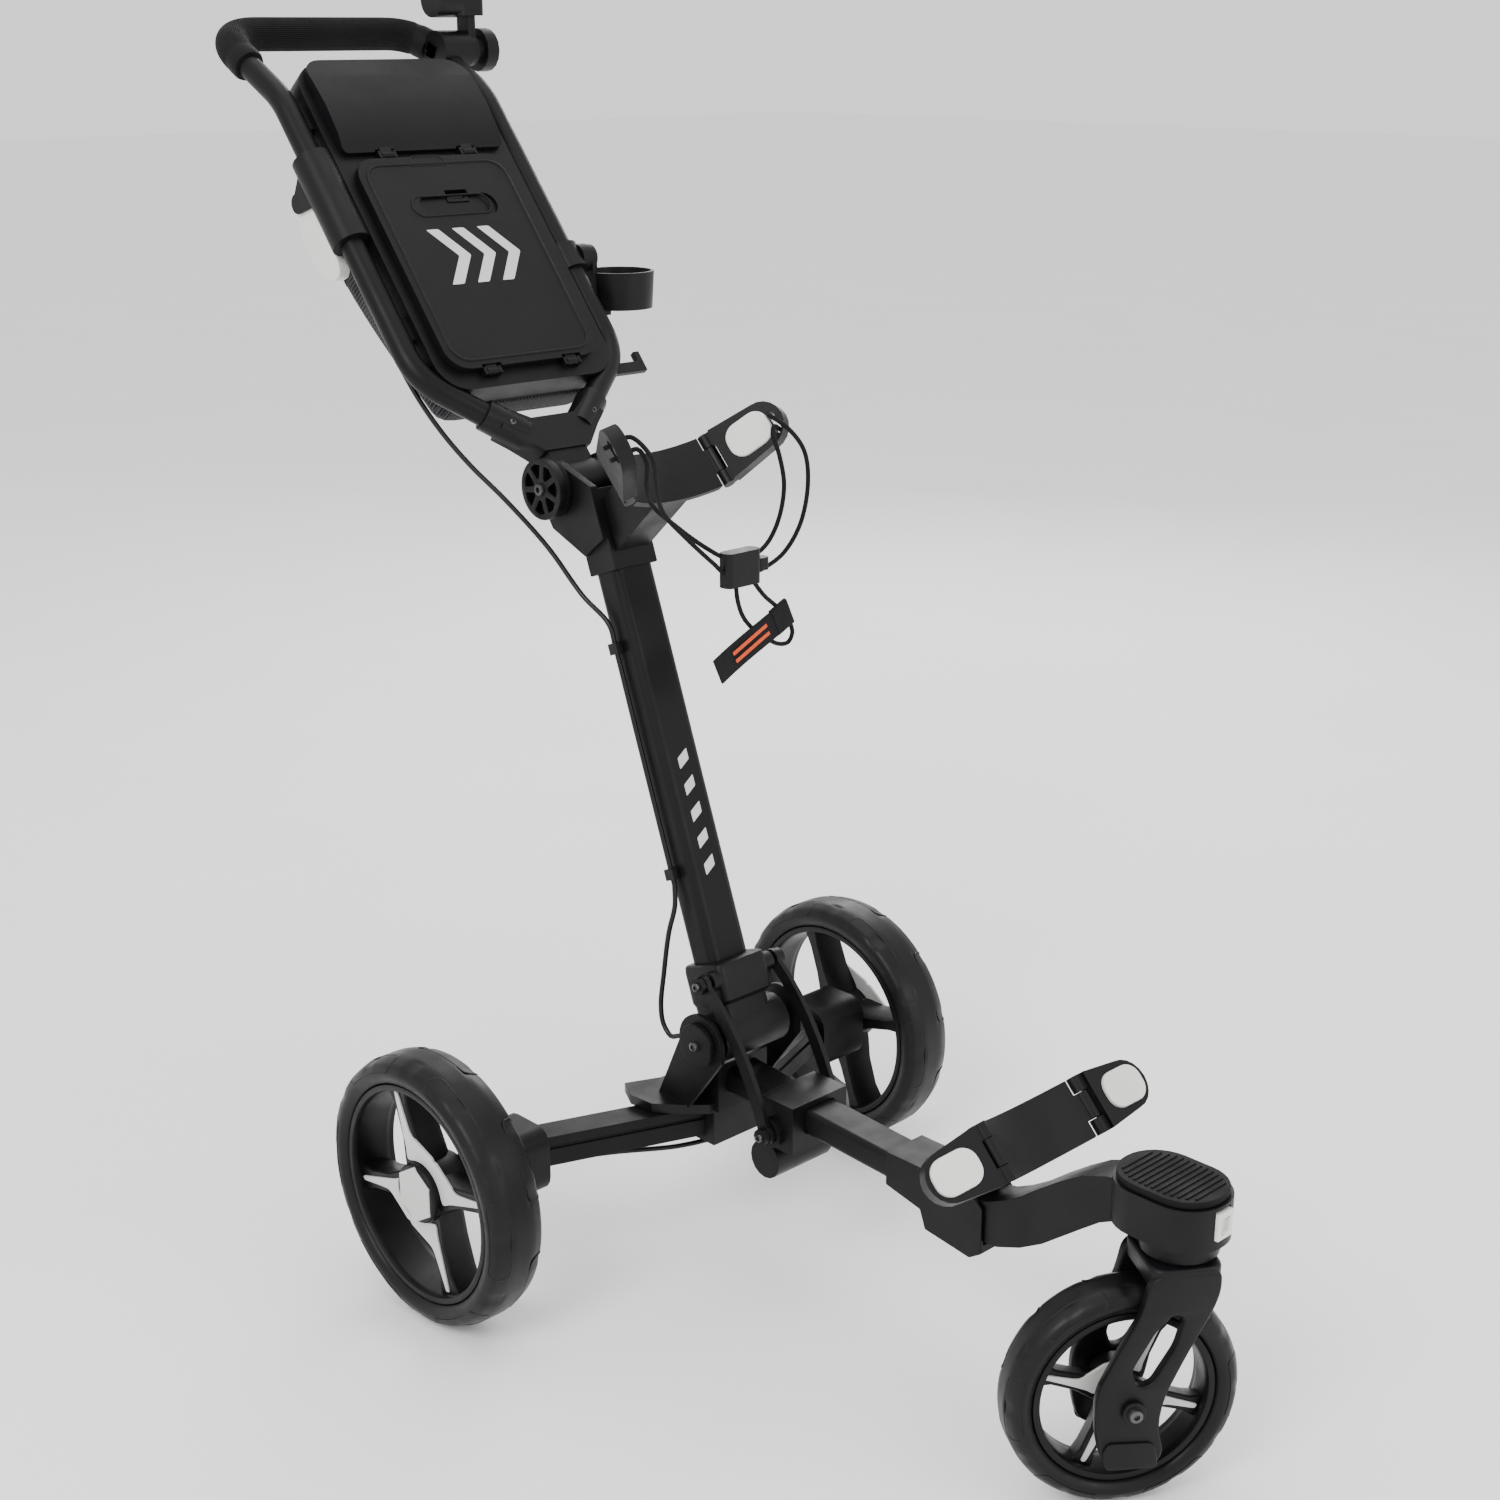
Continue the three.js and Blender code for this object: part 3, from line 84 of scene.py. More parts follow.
def frame_at(x, y, z, tilt=0.0, turn=0.0):
    """The matrix from a part's own frame in millimetres to the shared frame in metres."""
    there = Matrix.Translation((x * MM, (y + AXLE_Y) * MM, z * MM))
    turned = Matrix.Rotation(turn, 4, "Z") @ Matrix.Rotation(tilt, 4, "X")
    return there @ turned @ Matrix.Scale(MM, 4)


TROLLEY = frame_at(0, 0, 0)
MAIN = frame_at(*LOWER_PIVOT, -TUBE_LEAN)
HANDLE = frame_at(0, 95.4, 686.2, -HANDLE_LEAN)
CASTER = frame_at(*CASTER_PIVOT, 0, CASTER_YAW)
FRONT_AXLE = CASTER @ Matrix.Translation((0, CASTER_TRAIL, FRONT_WHEEL["radius"]))
TAB = frame_at(49, -81, 566) @ Matrix.Rotation(-TAB_LEAN, 4, "Y")
ONE = Matrix.Identity(4)


# ---------- camera ----------

def make_camera():
    data = bpy.data.cameras.new("photo_camera")
    data.lens = 53.83
    data.sensor_width = 36
    data.shift_y = -0.002
    data.clip_end = 50
    camera = bpy.data.objects.new("photo_camera", data)
    camera.location = (-1254.01 * MM, (-1429.81 + AXLE_Y) * MM, 1073.89 * MM)
    camera.rotation_euler = (math.radians(90 - 17.86), 0, math.radians(-43.91))
    bpy.context.scene.collection.objects.link(camera)
    bpy.context.scene.camera = camera


make_camera()


# ---------- materials ----------

def new_material(name):
    material = bpy.data.materials.new(name)
    material.use_nodes = True
    nodes = material.node_tree.nodes
    return material, material.node_tree, nodes["Principled BSDF"]


def noise(tree, scale, detail, roughness=0.55):
    """Noise in object space, which every piece shares because all of them sit at the origin."""
    coords = tree.nodes.new("ShaderNodeTexCoord")
    texture = tree.nodes.new("ShaderNodeTexNoise")
    texture.inputs["Scale"].default_value = scale
    texture.inputs["Detail"].default_value = detail
    texture.inputs["Roughness"].default_value = roughness
    tree.links.new(coords.outputs["Object"], texture.inputs["Vector"])
    return texture.outputs["Fac"]


def ramp(tree, source, low, high, start=0.35, end=0.65):
    node = tree.nodes.new("ShaderNodeMapRange")
    node.inputs["From Min"].default_value = start
    node.inputs["From Max"].default_value = end
    node.inputs["To Min"].default_value = low
    node.inputs["To Max"].default_value = high
    tree.links.new(source, node.inputs["Value"])
    return node.outputs["Result"]


def mix_colors(tree, factor, dark, light):
    node = tree.nodes.new("ShaderNodeMix")
    node.data_type = "RGBA"
    node.inputs["A"].default_value = (*dark, 1)
    node.inputs["B"].default_value = (*light, 1)
    tree.links.new(factor, node.inputs["Factor"])
    return node.outputs["Result"]


def bump(tree, shader, height, distance):
    node = tree.nodes.new("ShaderNodeBump")
    node.inputs["Distance"].default_value = distance
    node.inputs["Strength"].default_value = 1.0
    tree.links.new(height, node.inputs["Height"])
    tree.links.new(node.outputs["Normal"], shader.inputs["Normal"])


def worn(name, dark, light, rough, grain, depth, shine=0.22, metallic=0.0):
    """A moulded or anodised finish: slow colour drift, patchy gloss and a fine grain."""
    material, tree, shader = new_material(name)
    shader.inputs["Specular IOR Level"].default_value = shine
    shader.inputs["Metallic"].default_value = metallic
    drift = ramp(tree, noise(tree, 14, 4), 0, 1, 0.3, 0.7)
    tree.links.new(mix_colors(tree, drift, dark, light), shader.inputs["Base Color"])
    gloss = ramp(tree, noise(tree, 38, 5), rough[0], rough[1])
    tree.links.new(gloss, shader.inputs["Roughness"])
    bump(tree, shader, noise(tree, grain, 3, 0.6), depth)
    return material


def wave_pair(tree, scale, turn=0.0):
    """Two crossed bands, for nets and woven goods."""
    coords = tree.nodes.new("ShaderNodeTexCoord")
    bands = []
    for angle in (turn, turn + math.pi / 2):
        mapping = tree.nodes.new("ShaderNodeMapping")
        mapping.inputs["Rotation"].default_value = (HANDLE_LEAN, angle, 0)
        wave = tree.nodes.new("ShaderNodeTexWave")
        wave.inputs["Scale"].default_value = scale
        tree.links.new(coords.outputs["Object"], mapping.inputs["Vector"])
        tree.links.new(mapping.outputs["Vector"], wave.inputs["Vector"])
        bands.append(wave.outputs["Fac"])
    node = tree.nodes.new("ShaderNodeMath")
    node.operation = "MAXIMUM"
    for socket, band in zip(node.inputs, bands):
        tree.links.new(band, socket)
    return node.outputs["Value"]


def net_material():
    material, tree, shader = new_material("mesh_fabric")
    threads = ramp(tree, wave_pair(tree, 115, math.pi / 4), 0, 1, 0.5, 0.9)
    color = mix_colors(tree, threads, (0.005, 0.005, 0.006), (0.045, 0.045, 0.048))
    tree.links.new(color, shader.inputs["Base Color"])
    shader.inputs["Roughness"].default_value = 0.8
    shader.inputs["Specular IOR Level"].default_value = 0.15
    shader.inputs["Sheen Weight"].default_value = 0.04
    bump(tree, shader, threads, 0.0006)
    return material


def woven_material(name, dark, light, scale=230):
    material, tree, shader = new_material(name)
    threads = ramp(tree, wave_pair(tree, scale, 0.5), 0, 1, 0.3, 0.9)
    tree.links.new(mix_colors(tree, threads, dark, light), shader.inputs["Base Color"])
    shader.inputs["Roughness"].default_value = 0.75
    shader.inputs["Specular IOR Level"].default_value = 0.15
    shader.inputs["Sheen Weight"].default_value = 0.02
    bump(tree, shader, threads, 0.0003)
    return material


BLACK = ((0.0022, 0.0022, 0.0027), (0.0042, 0.0042, 0.005))
OFF_WHITE = ((0.66, 0.66, 0.62), (0.74, 0.74, 0.7))
SILVER = ((0.52, 0.52, 0.51), (0.62, 0.62, 0.61))
STEEL = ((0.06, 0.06, 0.06), (0.12, 0.12, 0.125))
MATERIALS = {
    "black_aluminium": worn("black_aluminium", *BLACK, (0.38, 0.48), 900, 0.00003, shine=0.17),
    "black_plastic": worn("black_plastic", *BLACK, (0.36, 0.5), 1400, 0.00006, shine=0.2),
    "satin_plastic": worn("satin_plastic", *BLACK, (0.4, 0.5), 1700, 0.00005, shine=0.18),
    "soft_black": worn("soft_black", *BLACK, (0.6, 0.72), 1200, 0.0001, shine=0.16),
    "tyre": worn("tyre", *BLACK, (0.34, 0.48), 1500, 0.00005, shine=0.22),
    "off_white": worn("off_white", *OFF_WHITE, (0.38, 0.46), 900, 0.00003, shine=0.4),
    "silver_trim": worn("silver_trim", *SILVER, (0.36, 0.44), 1100, 0.00003, metallic=0.2),
    "steel": worn("steel", *STEEL, (0.25, 0.36), 500, 0.00003, shine=0.5, metallic=0.9),
    "mesh_fabric": net_material(),
    "cord_cover": woven_material("cord_cover", (0.002, 0.002, 0.003), (0.007, 0.007, 0.008), 420),
    "cable_sheath": worn("cable_sheath", *BLACK, (0.3, 0.4), 700, 0.00003, shine=0.3),
    "webbing": woven_material("webbing", (0.002, 0.002, 0.003), (0.008, 0.008, 0.009)),
    "accent": woven_material("accent", (0.55, 0.05, 0.015), (0.75, 0.1, 0.03)),
}


# ---------- mesh making ----------

BODY_OF = {}
for body_name, members in frame["record"]["behaviour"]["bodies"].items():
    for member in members:
        BODY_OF[member] = body_name
SLOT_OF = {part["node"]: part["material_slot"] for part in frame["record"]["subparts"]}


def finish_piece(obj, body, material, smooth_angle=32):
    """Gives a piece its material and smooth faces, and puts it on its body, if it has only one."""
    bpy.context.scene.collection.objects.link(obj)
    obj.data.materials.clear()
    obj.data.materials.append(MATERIALS[material])
    if obj.type == "MESH":
        for polygon in obj.data.polygons:
            polygon.use_smooth = True
            polygon.material_index = 0
        obj.data.set_sharp_from_angle(angle=math.radians(smooth_angle))
    if body:
        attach(obj, body)
    return obj


def mesh_object(name, vertices, faces, place):
    mesh = bpy.data.meshes.new(name)
    mesh.from_pydata([place @ Vector(v) for v in vertices], [], faces)
    builder = bmesh.new()
    builder.from_mesh(mesh)
    bmesh.ops.recalc_face_normals(builder, faces=builder.faces)
    builder.to_mesh(mesh)
    builder.free()
    return bpy.data.objects.new(name, mesh)


def ring_faces(rings, size, loop, caps):
    faces = []
    last = rings if loop else rings - 1
    for i in range(last):
        j = (i + 1) % rings
        for k in range(size):
            m = (k + 1) % size
            faces.append((i * size + k, i * size + m, j * size + m, j * size + k))
    if caps:
        faces.append(tuple(reversed(range(size))))
        faces.append(tuple((rings - 1) * size + k for k in range(size)))
    return faces


def lofted(name, rings, place, loop=False, caps=True):
    size = len(rings[0])
    vertices = [point for ring in rings for point in ring]
    return mesh_object(name, vertices, ring_faces(len(rings), size, loop, caps), place)


def turned(name, profile, segments, place, push=None):
    """A closed profile of (x, radius) turned about X. push(x, radius, angle) moves it inward."""
    rings = []
    for i in range(segments):
        angle = 2 * math.pi * i / segments
        points = []
        for x, radius in profile:
            inner = radius - (push(x, radius, angle) if push else 0)
            points.append((x, inner * math.cos(angle), inner * math.sin(angle)))
        rings.append(points)
    return lofted(name, rings, place, loop=True, caps=False)


def rounded(profile, radius, steps=3):
    """The same closed profile with its corners rounded."""
    points = []
    count = len(profile)
    for i, (x, y) in enumerate(profile):
        here = Vector((x, y))
        before = Vector(profile[i - 1]) - here
        after = Vector(profile[(i + 1) % count]) - here
        reach = min(radius, before.length * 0.45, after.length * 0.45)
        start = here + before.normalized() * reach
        end = here + after.normalized() * reach
        for step in range(steps + 1):
            t = step / steps
            points.append(tuple(start * (1 - t) ** 2 + here * 2 * t * (1 - t) + end * t * t))
    return points


def corner_path(points, bends, steps):
    """Straight runs with rounded corners, as the handle's tube is bent."""
    corners = [Vector(p) for p in points]
    path = [corners[0]]
    for i in range(1, len(corners) - 1):
        before = corners[i] + (corners[i - 1] - corners[i]).normalized() * bends[i - 1]
        after = corners[i] + (corners[i + 1] - corners[i]).normalized() * bends[i - 1]
        for step in range(steps + 1):
            t = step / steps
            path.append(before * (1 - t) ** 2 + corners[i] * 2 * t * (1 - t) + after * t * t)
    path.append(corners[-1])
    return path


def spline_path(points, step):
    """A centripetal spline through the points, sampled about every step."""
    given = [Vector(p) for p in points]
    ends = [given[0] * 2 - given[1], *given, given[-1] * 2 - given[-2]]
    path = []
    for i in range(1, len(ends) - 2):
        p0, p1, p2, p3 = ends[i - 1:i + 3]
        gaps = [max((b - a).length ** 0.5, 1e-4) for a, b in ((p0, p1), (p1, p2), (p2, p3))]
        m1 = (p1 - p0) / gaps[0] - (p2 - p0) / (gaps[0] + gaps[1]) + (p2 - p1) / gaps[1]
        m2 = (p2 - p1) / gaps[1] - (p3 - p1) / (gaps[1] + gaps[2]) + (p3 - p2) / gaps[2]
        m1 *= gaps[1]
        m2 *= gaps[1]
        count = max(2, round((p2 - p1).length / step))
        for k in range(count):
            t = k / count
            path.append(
                p1 * (2 * t**3 - 3 * t**2 + 1) + m1 * (t**3 - 2 * t**2 + t)
                + p2 * (3 * t**2 - 2 * t**3) + m2 * (t**3 - t**2)
            )
    path.append(given[-1])
    return path


def path_frames(path):
    """At each point, two directions square to the path that don't twist along it."""
    tangents = []
    for i in range(len(path)):
        tangents.append((path[min(i + 1, len(path) - 1)] - path[max(i - 1, 0)]).normalized())
    across = tangents[0].orthogonal().normalized()
    frames = []
    for tangent in tangents:
        across = (across - tangent * across.dot(tangent)).normalized()
        frames.append((across, tangent.cross(across)))
    return frames


def swept(name, path, radius, sides, place):
    """A bar along a path. radius is a number, or radius(index, angle)."""
    rings = []
    for i, (point, (u, v)) in enumerate(zip(path, path_frames(path))):
        ring = []
        for k in range(sides):
            angle = 2 * math.pi * k / sides
            size = radius(i, angle) if callable(radius) else radius
            ring.append(point + (u * math.cos(angle) + v * math.sin(angle)) * size)
        rings.append(ring)
    return lofted(name, rings, place)


def plate(name, outline, bottom, top, place, bevel):
    """An outline in X and Y made solid along Z, its edges rounded unless bevel is 0."""
    vertices = [(x, y, z) for z in (bottom, top) for x, y in outline]
    obj = mesh_object(name, vertices, ring_faces(2, len(outline), False, True), place)
    if bevel:
        soften(obj, bevel)
    return obj


def cutout(name, outlines, bottom, top, bevel, place):
    """A plate with holes: the first outline is its edge and the others are holes. All in X and Y."""
    curve = bpy.data.curves.new(name, "CURVE")
    curve.dimensions = "2D"
    curve.fill_mode = "BOTH"
    curve.extrude = (top - bottom) / 2 - bevel
    curve.bevel_depth = bevel
    curve.bevel_resolution = 2
    curve.offset = -bevel
    for outline in outlines:
        spline = curve.splines.new("POLY")
        spline.points.add(len(outline) - 1)
        for point, (x, y) in zip(spline.points, outline):
            point.co = (x, y, 0, 1)
        spline.use_cyclic_u = True
    holder = bpy.data.objects.new(name + "_curve", curve)
    bpy.context.scene.collection.objects.link(holder)
    bpy.context.view_layer.update()
    mesh = bpy.data.meshes.new_from_object(holder.evaluated_get(bpy.context.evaluated_depsgraph_get()))
    bpy.data.objects.remove(holder)
    mesh.transform(place @ Matrix.Translation((0, 0, (bottom + top) / 2)))
    builder = bmesh.new()
    builder.from_mesh(mesh)
    bmesh.ops.remove_doubles(builder, verts=builder.verts, dist=1e-6)
    bmesh.ops.recalc_face_normals(builder, faces=builder.faces)
    builder.to_mesh(mesh)
    builder.free()
    return bpy.data.objects.new(name, mesh)


CREASE = math.radians(34)
FLAT = math.radians(0.6)
WELD = 2e-6
SHORTEST_EDGE = 0.0012


def even_normals(obj):
    normals = obj.modifiers.new("even_normals", "WEIGHTED_NORMAL")
    normals.keep_sharp = True


def soften(obj, width):
    """Rounds a piece's edges by a width in millimetres."""
    bevel = obj.modifiers.new("round_edges", "BEVEL")
    bevel.width = width * MM
    bevel.segments = 2
    bevel.limit_method = "ANGLE"
    bevel.angle_limit = CREASE
    bevel.use_clamp_overlap = True
    bevel.miter_outer = "MITER_ARC"
    even_normals(obj)


def cad_detail(node, width):
    """A finer stand-in for a CAD node: its flat faces merged and its edges rounded."""
    mesh = frame["nodes"][node].data.copy()
    for attribute in ("custom_normal", "sharp_face", "sharp_edge"):
        if attribute in mesh.attributes:
            mesh.attributes.remove(mesh.attributes[attribute])
    builder = bmesh.new()
    builder.from_mesh(mesh)
    bmesh.ops.remove_doubles(builder, verts=builder.verts, dist=WELD)
    bmesh.ops.dissolve_limit(builder, angle_limit=FLAT, verts=builder.verts, edges=builder.edges)
    sharp = [e for e in builder.edges if len(e.link_faces) == 2 and e.calc_face_angle() > CREASE]
    long_enough = [e for e in sharp if e.calc_length() > SHORTEST_EDGE]
    bmesh.ops.bevel(
        builder, geom=long_enough, offset=width * MM, offset_type="OFFSET", segments=2,
        profile=0.5, affect="EDGES", clamp_overlap=True, miter_outer="ARC",
    )
    bmesh.ops.remove_doubles(builder, verts=builder.verts, dist=WELD)
    builder.to_mesh(mesh)
    builder.free()
    obj = bpy.data.objects.new(f"{node}_shape", mesh)
    finish_piece(obj, BODY_OF[node], SLOT_OF[node], 34)
    even_normals(obj)
    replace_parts(obj, node)


# ---------- wheels ----------

def shoulder_pads(half, depth, around):
    """Long raised pads on both shoulders of a tyre, offset from side to side."""
    def push(x, radius, angle):
        if abs(x) < half * 0.3 or abs(x) > half - 1:
            return 0
        phase = (angle * around / (2 * math.pi) + (0.5 if x > 0 else 0)) % 1
        edge = min(phase, 1 - phase) - 0.09
        inside = max(0.0, min(1.0, edge / 0.02))
        across = max(0.0, min(1.0, (abs(x) - half * 0.34) / 1.5))
        return depth * (1 - inside) * across
    return push


def tyre_piece(name, wheel, place, body, node):
    radius = wheel["radius"]
    rim_radius = wheel["rim"]
    half = wheel["width"] / 2
    seat = rim_radius + 0.4
    wall = radius - rim_radius
    corners = [
        (-half + 4, seat), (half - 4, seat),
        (half - 0.4, seat + wall * 0.3), (half - 0.2, seat + wall * 0.45), (half - 3, radius - 4.5),
        (half * 0.5, radius - 0.6), (half * 0.3, radius), (-half * 0.3, radius), (-half * 0.5, radius - 0.6),
        (-half + 3, radius - 4.5), (-half + 0.2, seat + wall * 0.45), (-half + 0.4, seat + wall * 0.3),
    ]
    profile = []
    smooth = rounded(corners, 5, 3)
    for i, start in enumerate(smooth):
        end = smooth[(i + 1) % len(smooth)]
        pieces = max(1, round(math.dist(start, end) / 2.2))
        for k in range(pieces):
            t = k / pieces
            profile.append((start[0] + (end[0] - start[0]) * t, start[1] + (end[1] - start[1]) * t))

    pads = shoulder_pads(half, 0.9, 12)

    def push(x, r, angle):
        return pads(x, r, angle) if r > rim_radius + wall * 0.45 else 0

    obj = turned(name, profile, 240, place, push)
    finish_piece(obj, body, "tyre", 40)
    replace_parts(obj, node)
    tyre_loops(f"{name}_loops", radius, half, smooth, place, body)


def surface_radius(profile, x):
    """The outer radius of a tyre's profile at a distance along its axle."""
    best = 0
    for i, (x0, r0) in enumerate(profile):
        x1, r1 = profile[(i + 1) % len(profile)]
        if min(x0, x1) <= x <= max(x0, x1) and abs(x1 - x0) > 1e-6:
            best = max(best, r0 + (r1 - r0) * (x - x0) / (x1 - x0))
    return best


def tyre_loops(name, radius, half, profile, place, body):
    """Fine raised lines round the long shoulder pads, six on each side."""
    vertices = []
    faces = []
    sides = 6
    reach = math.radians(17) * radius
    for side in (-1, 1):
        inner, outer = half * 0.4, half - 0.75
        for pad in range(6):
            middle = (pad + (0.5 if side > 0 else 0)) * math.pi / 3
            corners = [(inner, -reach), (inner, reach), (outer, reach * 1.05), (outer, -reach * 1.05)]
            flat = rounded(corners, 9, 6)
            points = []
            for i, (x, along) in enumerate(flat):
                nx, na = flat[(i + 1) % len(flat)]
                count = max(1, round(math.dist((x, along), (nx, na)) / 3))
                for k in range(count):
                    points.append((x + (nx - x) * k / count, along + (na - along) * k / count))
            ring = []
            for x, along in points:
                angle = middle + along / radius
                r = surface_radius(profile, x) - 0.25
                ring.append(Vector((side * x, r * math.cos(angle), r * math.sin(angle))))
            base = len(vertices)
            count = len(ring)
            for i, point in enumerate(ring):
                tangent = (ring[(i + 1) % count] - ring[i - 1]).normalized()
                out = Vector((0.35 * side, point.y / radius, point.z / radius)).normalized()
                across = tangent.cross(out).normalized()
                for k in range(sides):
                    a = 2 * math.pi * k / sides
                    vertices.append(point + across * math.cos(a) * 0.75 + out * math.sin(a) * 0.6)
            for i in range(count):
                j = (i + 1) % count
                here, there = base + i * sides, base + j * sides
                for k in range(sides):
                    m = (k + 1) % sides
                    faces.append((here + k, here + m, there + m, there + k))
    obj = mesh_object(name, vertices, faces, place)
    finish_piece(obj, body, "tyre", 60)


def turned_point(u, v, angle):
    return (u * math.cos(angle) - v * math.sin(angle), u * math.sin(angle) + v * math.cos(angle))


def spoke_trim(name, side, inner, reach, wide, place, body, out):
    """A light boomerang that lies on two neighbouring spokes and turns round the hub cap."""
    spread = math.radians(SPOKE_SPREAD)

    def arm(sign, distance, offset):
        along = Vector((math.cos(spread), sign * math.sin(spread)))
        away = Vector((-math.sin(spread), sign * math.cos(spread)))
        return along * distance + away * offset

    back = [(reach, 2.2), (reach * 0.7, wide * 0.25), (inner * 1.4, wide * 0.36), (inner * 1.03, wide * 0.55)]
    front = [(reach - 1, -1.8), (reach * 0.7, -wide * 0.22), (reach * 0.56, -wide * 0.3)]
    points = [arm(1, *p) for p in back]
    for a in (0.7, 0.42, 0.14, -0.14, -0.42, -0.7):
        points.append(Vector((inner * math.cos(a), inner * math.sin(a))))
    points += [arm(-1, *p) for p in reversed(back)]
    points += [arm(-1, *p) for p in front]
    points += [Vector((inner * 1.5, -3)), Vector((inner * 1.44, 0)), Vector((inner * 1.5, 3))]
    points += [arm(1, *p) for p in reversed(front)]
    flat = rounded([tuple(p) for p in points], 5, 3)
    turned_flat = [turned_point(u, v, side) for u, v in flat]
    vertices = [(x, p[0], p[1]) for x in out for p in turned_flat]
    obj = mesh_object(name, vertices, ring_faces(2, len(turned_flat), False, True), place)
    finish_piece(obj, body, "silver_trim")
    soften(obj, 0.4)


def rim_piece(prefix, wheel, place, body, node, outward):
    """A rim with its crossed spokes, hub, light trims and hub cap. outward is the cap's side."""
    radius = wheel["rim"]
    hub = wheel["hub"]
    turn_angle = wheel["turn"]
    half = wheel["width"] / 2 - 4.5
    wall = 5.5
    lip = [
        (-half, radius - wall), (-half + 5, radius - wall - 1.2), (half - 9, radius - wall - 1.2),
        (half - 5, radius - wall), (half, radius - wall), (half, radius), (-half, radius),
    ]
    barrel = turned(f"{prefix}_barrel", rounded(lip, 1.2, 2), 120, place)
    finish_piece(barrel, body, "black_plastic", 40)
    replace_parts(barrel, node)

    face = outward * (half - 9)
    back = -outward * (half - 6)
    for i, offset in enumerate((-SPOKE_SPREAD, SPOKE_SPREAD, 180 - SPOKE_SPREAD, 180 + SPOKE_SPREAD)):
        turn = place @ Matrix.Rotation(turn_angle + math.radians(offset), 4, "X")
        stations = [
            (0, 1.5), (hub * 1.05, 1.25), (radius * 0.5, 0.8), (radius * 0.78, 0.72),
            (radius - wall + 0.5, 1.1),
        ]
        rings = []
        for z, grow in stations:
            s = wheel["spoke"] * grow
            side_of_face = face - outward * 1.5
            step = back + outward * 6
            rings.append([
                (face, -s + 1.2, z), (side_of_face, -s, z), (step, -s * 0.8, z), (back, -s * 0.5, z),
                (back, s * 0.5, z), (step, s * 0.8, z), (side_of_face, s, z), (face, s - 1.2, z),
            ])
        spoke = lofted(f"{prefix}_spoke_{i}", rings, turn)
        finish_piece(spoke, body, "black_plastic", 30)

    hub_profile = rounded([
        (-HUB_HALF, hub * 0.35), (HUB_HALF, hub * 0.35), (HUB_HALF, hub - 2), (HUB_HALF - 3, hub),
        (-HUB_HALF + 3, hub), (-HUB_HALF, hub - 2),
    ], 1.5, 2)
    core = turned(f"{prefix}_hub", hub_profile, 64, place)
    finish_piece(core, body, "black_plastic", 40)

    base = face + outward * 0.1
    out = (base - outward * 1.0, base + outward * 1.4)
    for i in range(2):
        side = turn_angle + math.pi / 2 + i * math.pi
        spoke_trim(f"{prefix}_trim_{i}", side, hub * 1.03, radius - wall - 2, hub * 0.62, place, body, out)
    cap_face = outward * (HUB_HALF + 0.2)
    tilt = turn_angle + math.radians(62)
    flat = []
    for k in range(6):
        a = k * math.pi / 3
        flat.append(turned_point(hub * 0.97 * math.cos(a), hub * 0.9 * math.sin(a), tilt))
    vertices = [(x, p[0], p[1]) for x in (cap_face - outward * 1.5, cap_face + outward * 0.9) for p in flat]
    obj = mesh_object(f"{prefix}_cap", vertices, ring_faces(2, 6, False, True), place)
    finish_piece(obj, body, "silver_trim")
    soften(obj, 0.6)


def wheels():
    for side, sign in (("left", 1), ("right", -1)):
        place = frame_at(sign * REAR_WHEEL_X, 0, REAR_WHEEL["radius"])
        body = f"wheel_{side}"
        tyre_piece(f"tyre_{side}", REAR_WHEEL, place, body, f"rear_tyre_{side}")
        rim_piece(f"rim_{side}", REAR_WHEEL, place, body, f"rear_rim_{side}", sign)
    tyre_piece("tyre_front", FRONT_WHEEL, FRONT_AXLE, "front_wheel", "front_tyre")
    rim_piece("rim_front", FRONT_WHEEL, FRONT_AXLE, "front_wheel", "front_rim", -1)


wheels()


# ---------- handle, grip ----------

TUBE_X = 112
BEND_UP = 417
GRIP_UP = 523
GRIP_LEAN = math.radians(22.5)
GRIP_BACK = (GRIP_UP - BEND_UP) * math.tan(GRIP_LEAN)
GRIP_START = 470


def side_points(sign):
    return [
        (sign * 34, 0, 56), (sign * TUBE_X, 0, 122), (sign * TUBE_X, 0, BEND_UP),
        (sign * TUBE_X, GRIP_BACK, GRIP_UP),
    ]


def handle_path():
    points = [*side_points(-1), *reversed(side_points(1))]
    return corner_path(points, [26, 16, 42, 42, 16, 26], 14)


def handle_and_grip():
    path = handle_path()
    tube = swept("handle_tube", path, 11, 40, HANDLE)
    finish_piece(tube, "handle", "black_aluminium", 50)
    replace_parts(tube, "handle_frame")

    start = Vector((-TUBE_X, (GRIP_START - BEND_UP) * math.tan(GRIP_LEAN), GRIP_START))
    inside = [p for p in path if p.z > GRIP_START + 1 and (p.x < 0 or p.z > 499)]
    corners = [start, *inside]
    dense = [corners[0]]
    for before, after in zip(corners, corners[1:]):
        count = max(1, round((after - before).length / 3))
        dense.extend(before.lerp(after, k / count) for k in range(1, count + 1))
    lengths = [0.0]
    for before, after in zip(dense, dense[1:]):
        lengths.append(lengths[-1] + (after - before).length)
    total = lengths[-1]

    def radius(index, angle):
        end = min(lengths[index], total - lengths[index])
        if end < 15:
            return 15.4 - max(0.0, 1.5 - end) * 0.8
        if end < 18:
            return 14.7
        return 14.75 + 0.6 * abs(math.sin(angle * 26))

    shell = swept("grip_sleeve", dense, radius, 208, HANDLE)
    finish_piece(shell, "handle", "soft_black", 60)
    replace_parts(shell, "grip")


handle_and_grip()


# ---------- cords and cables ----------

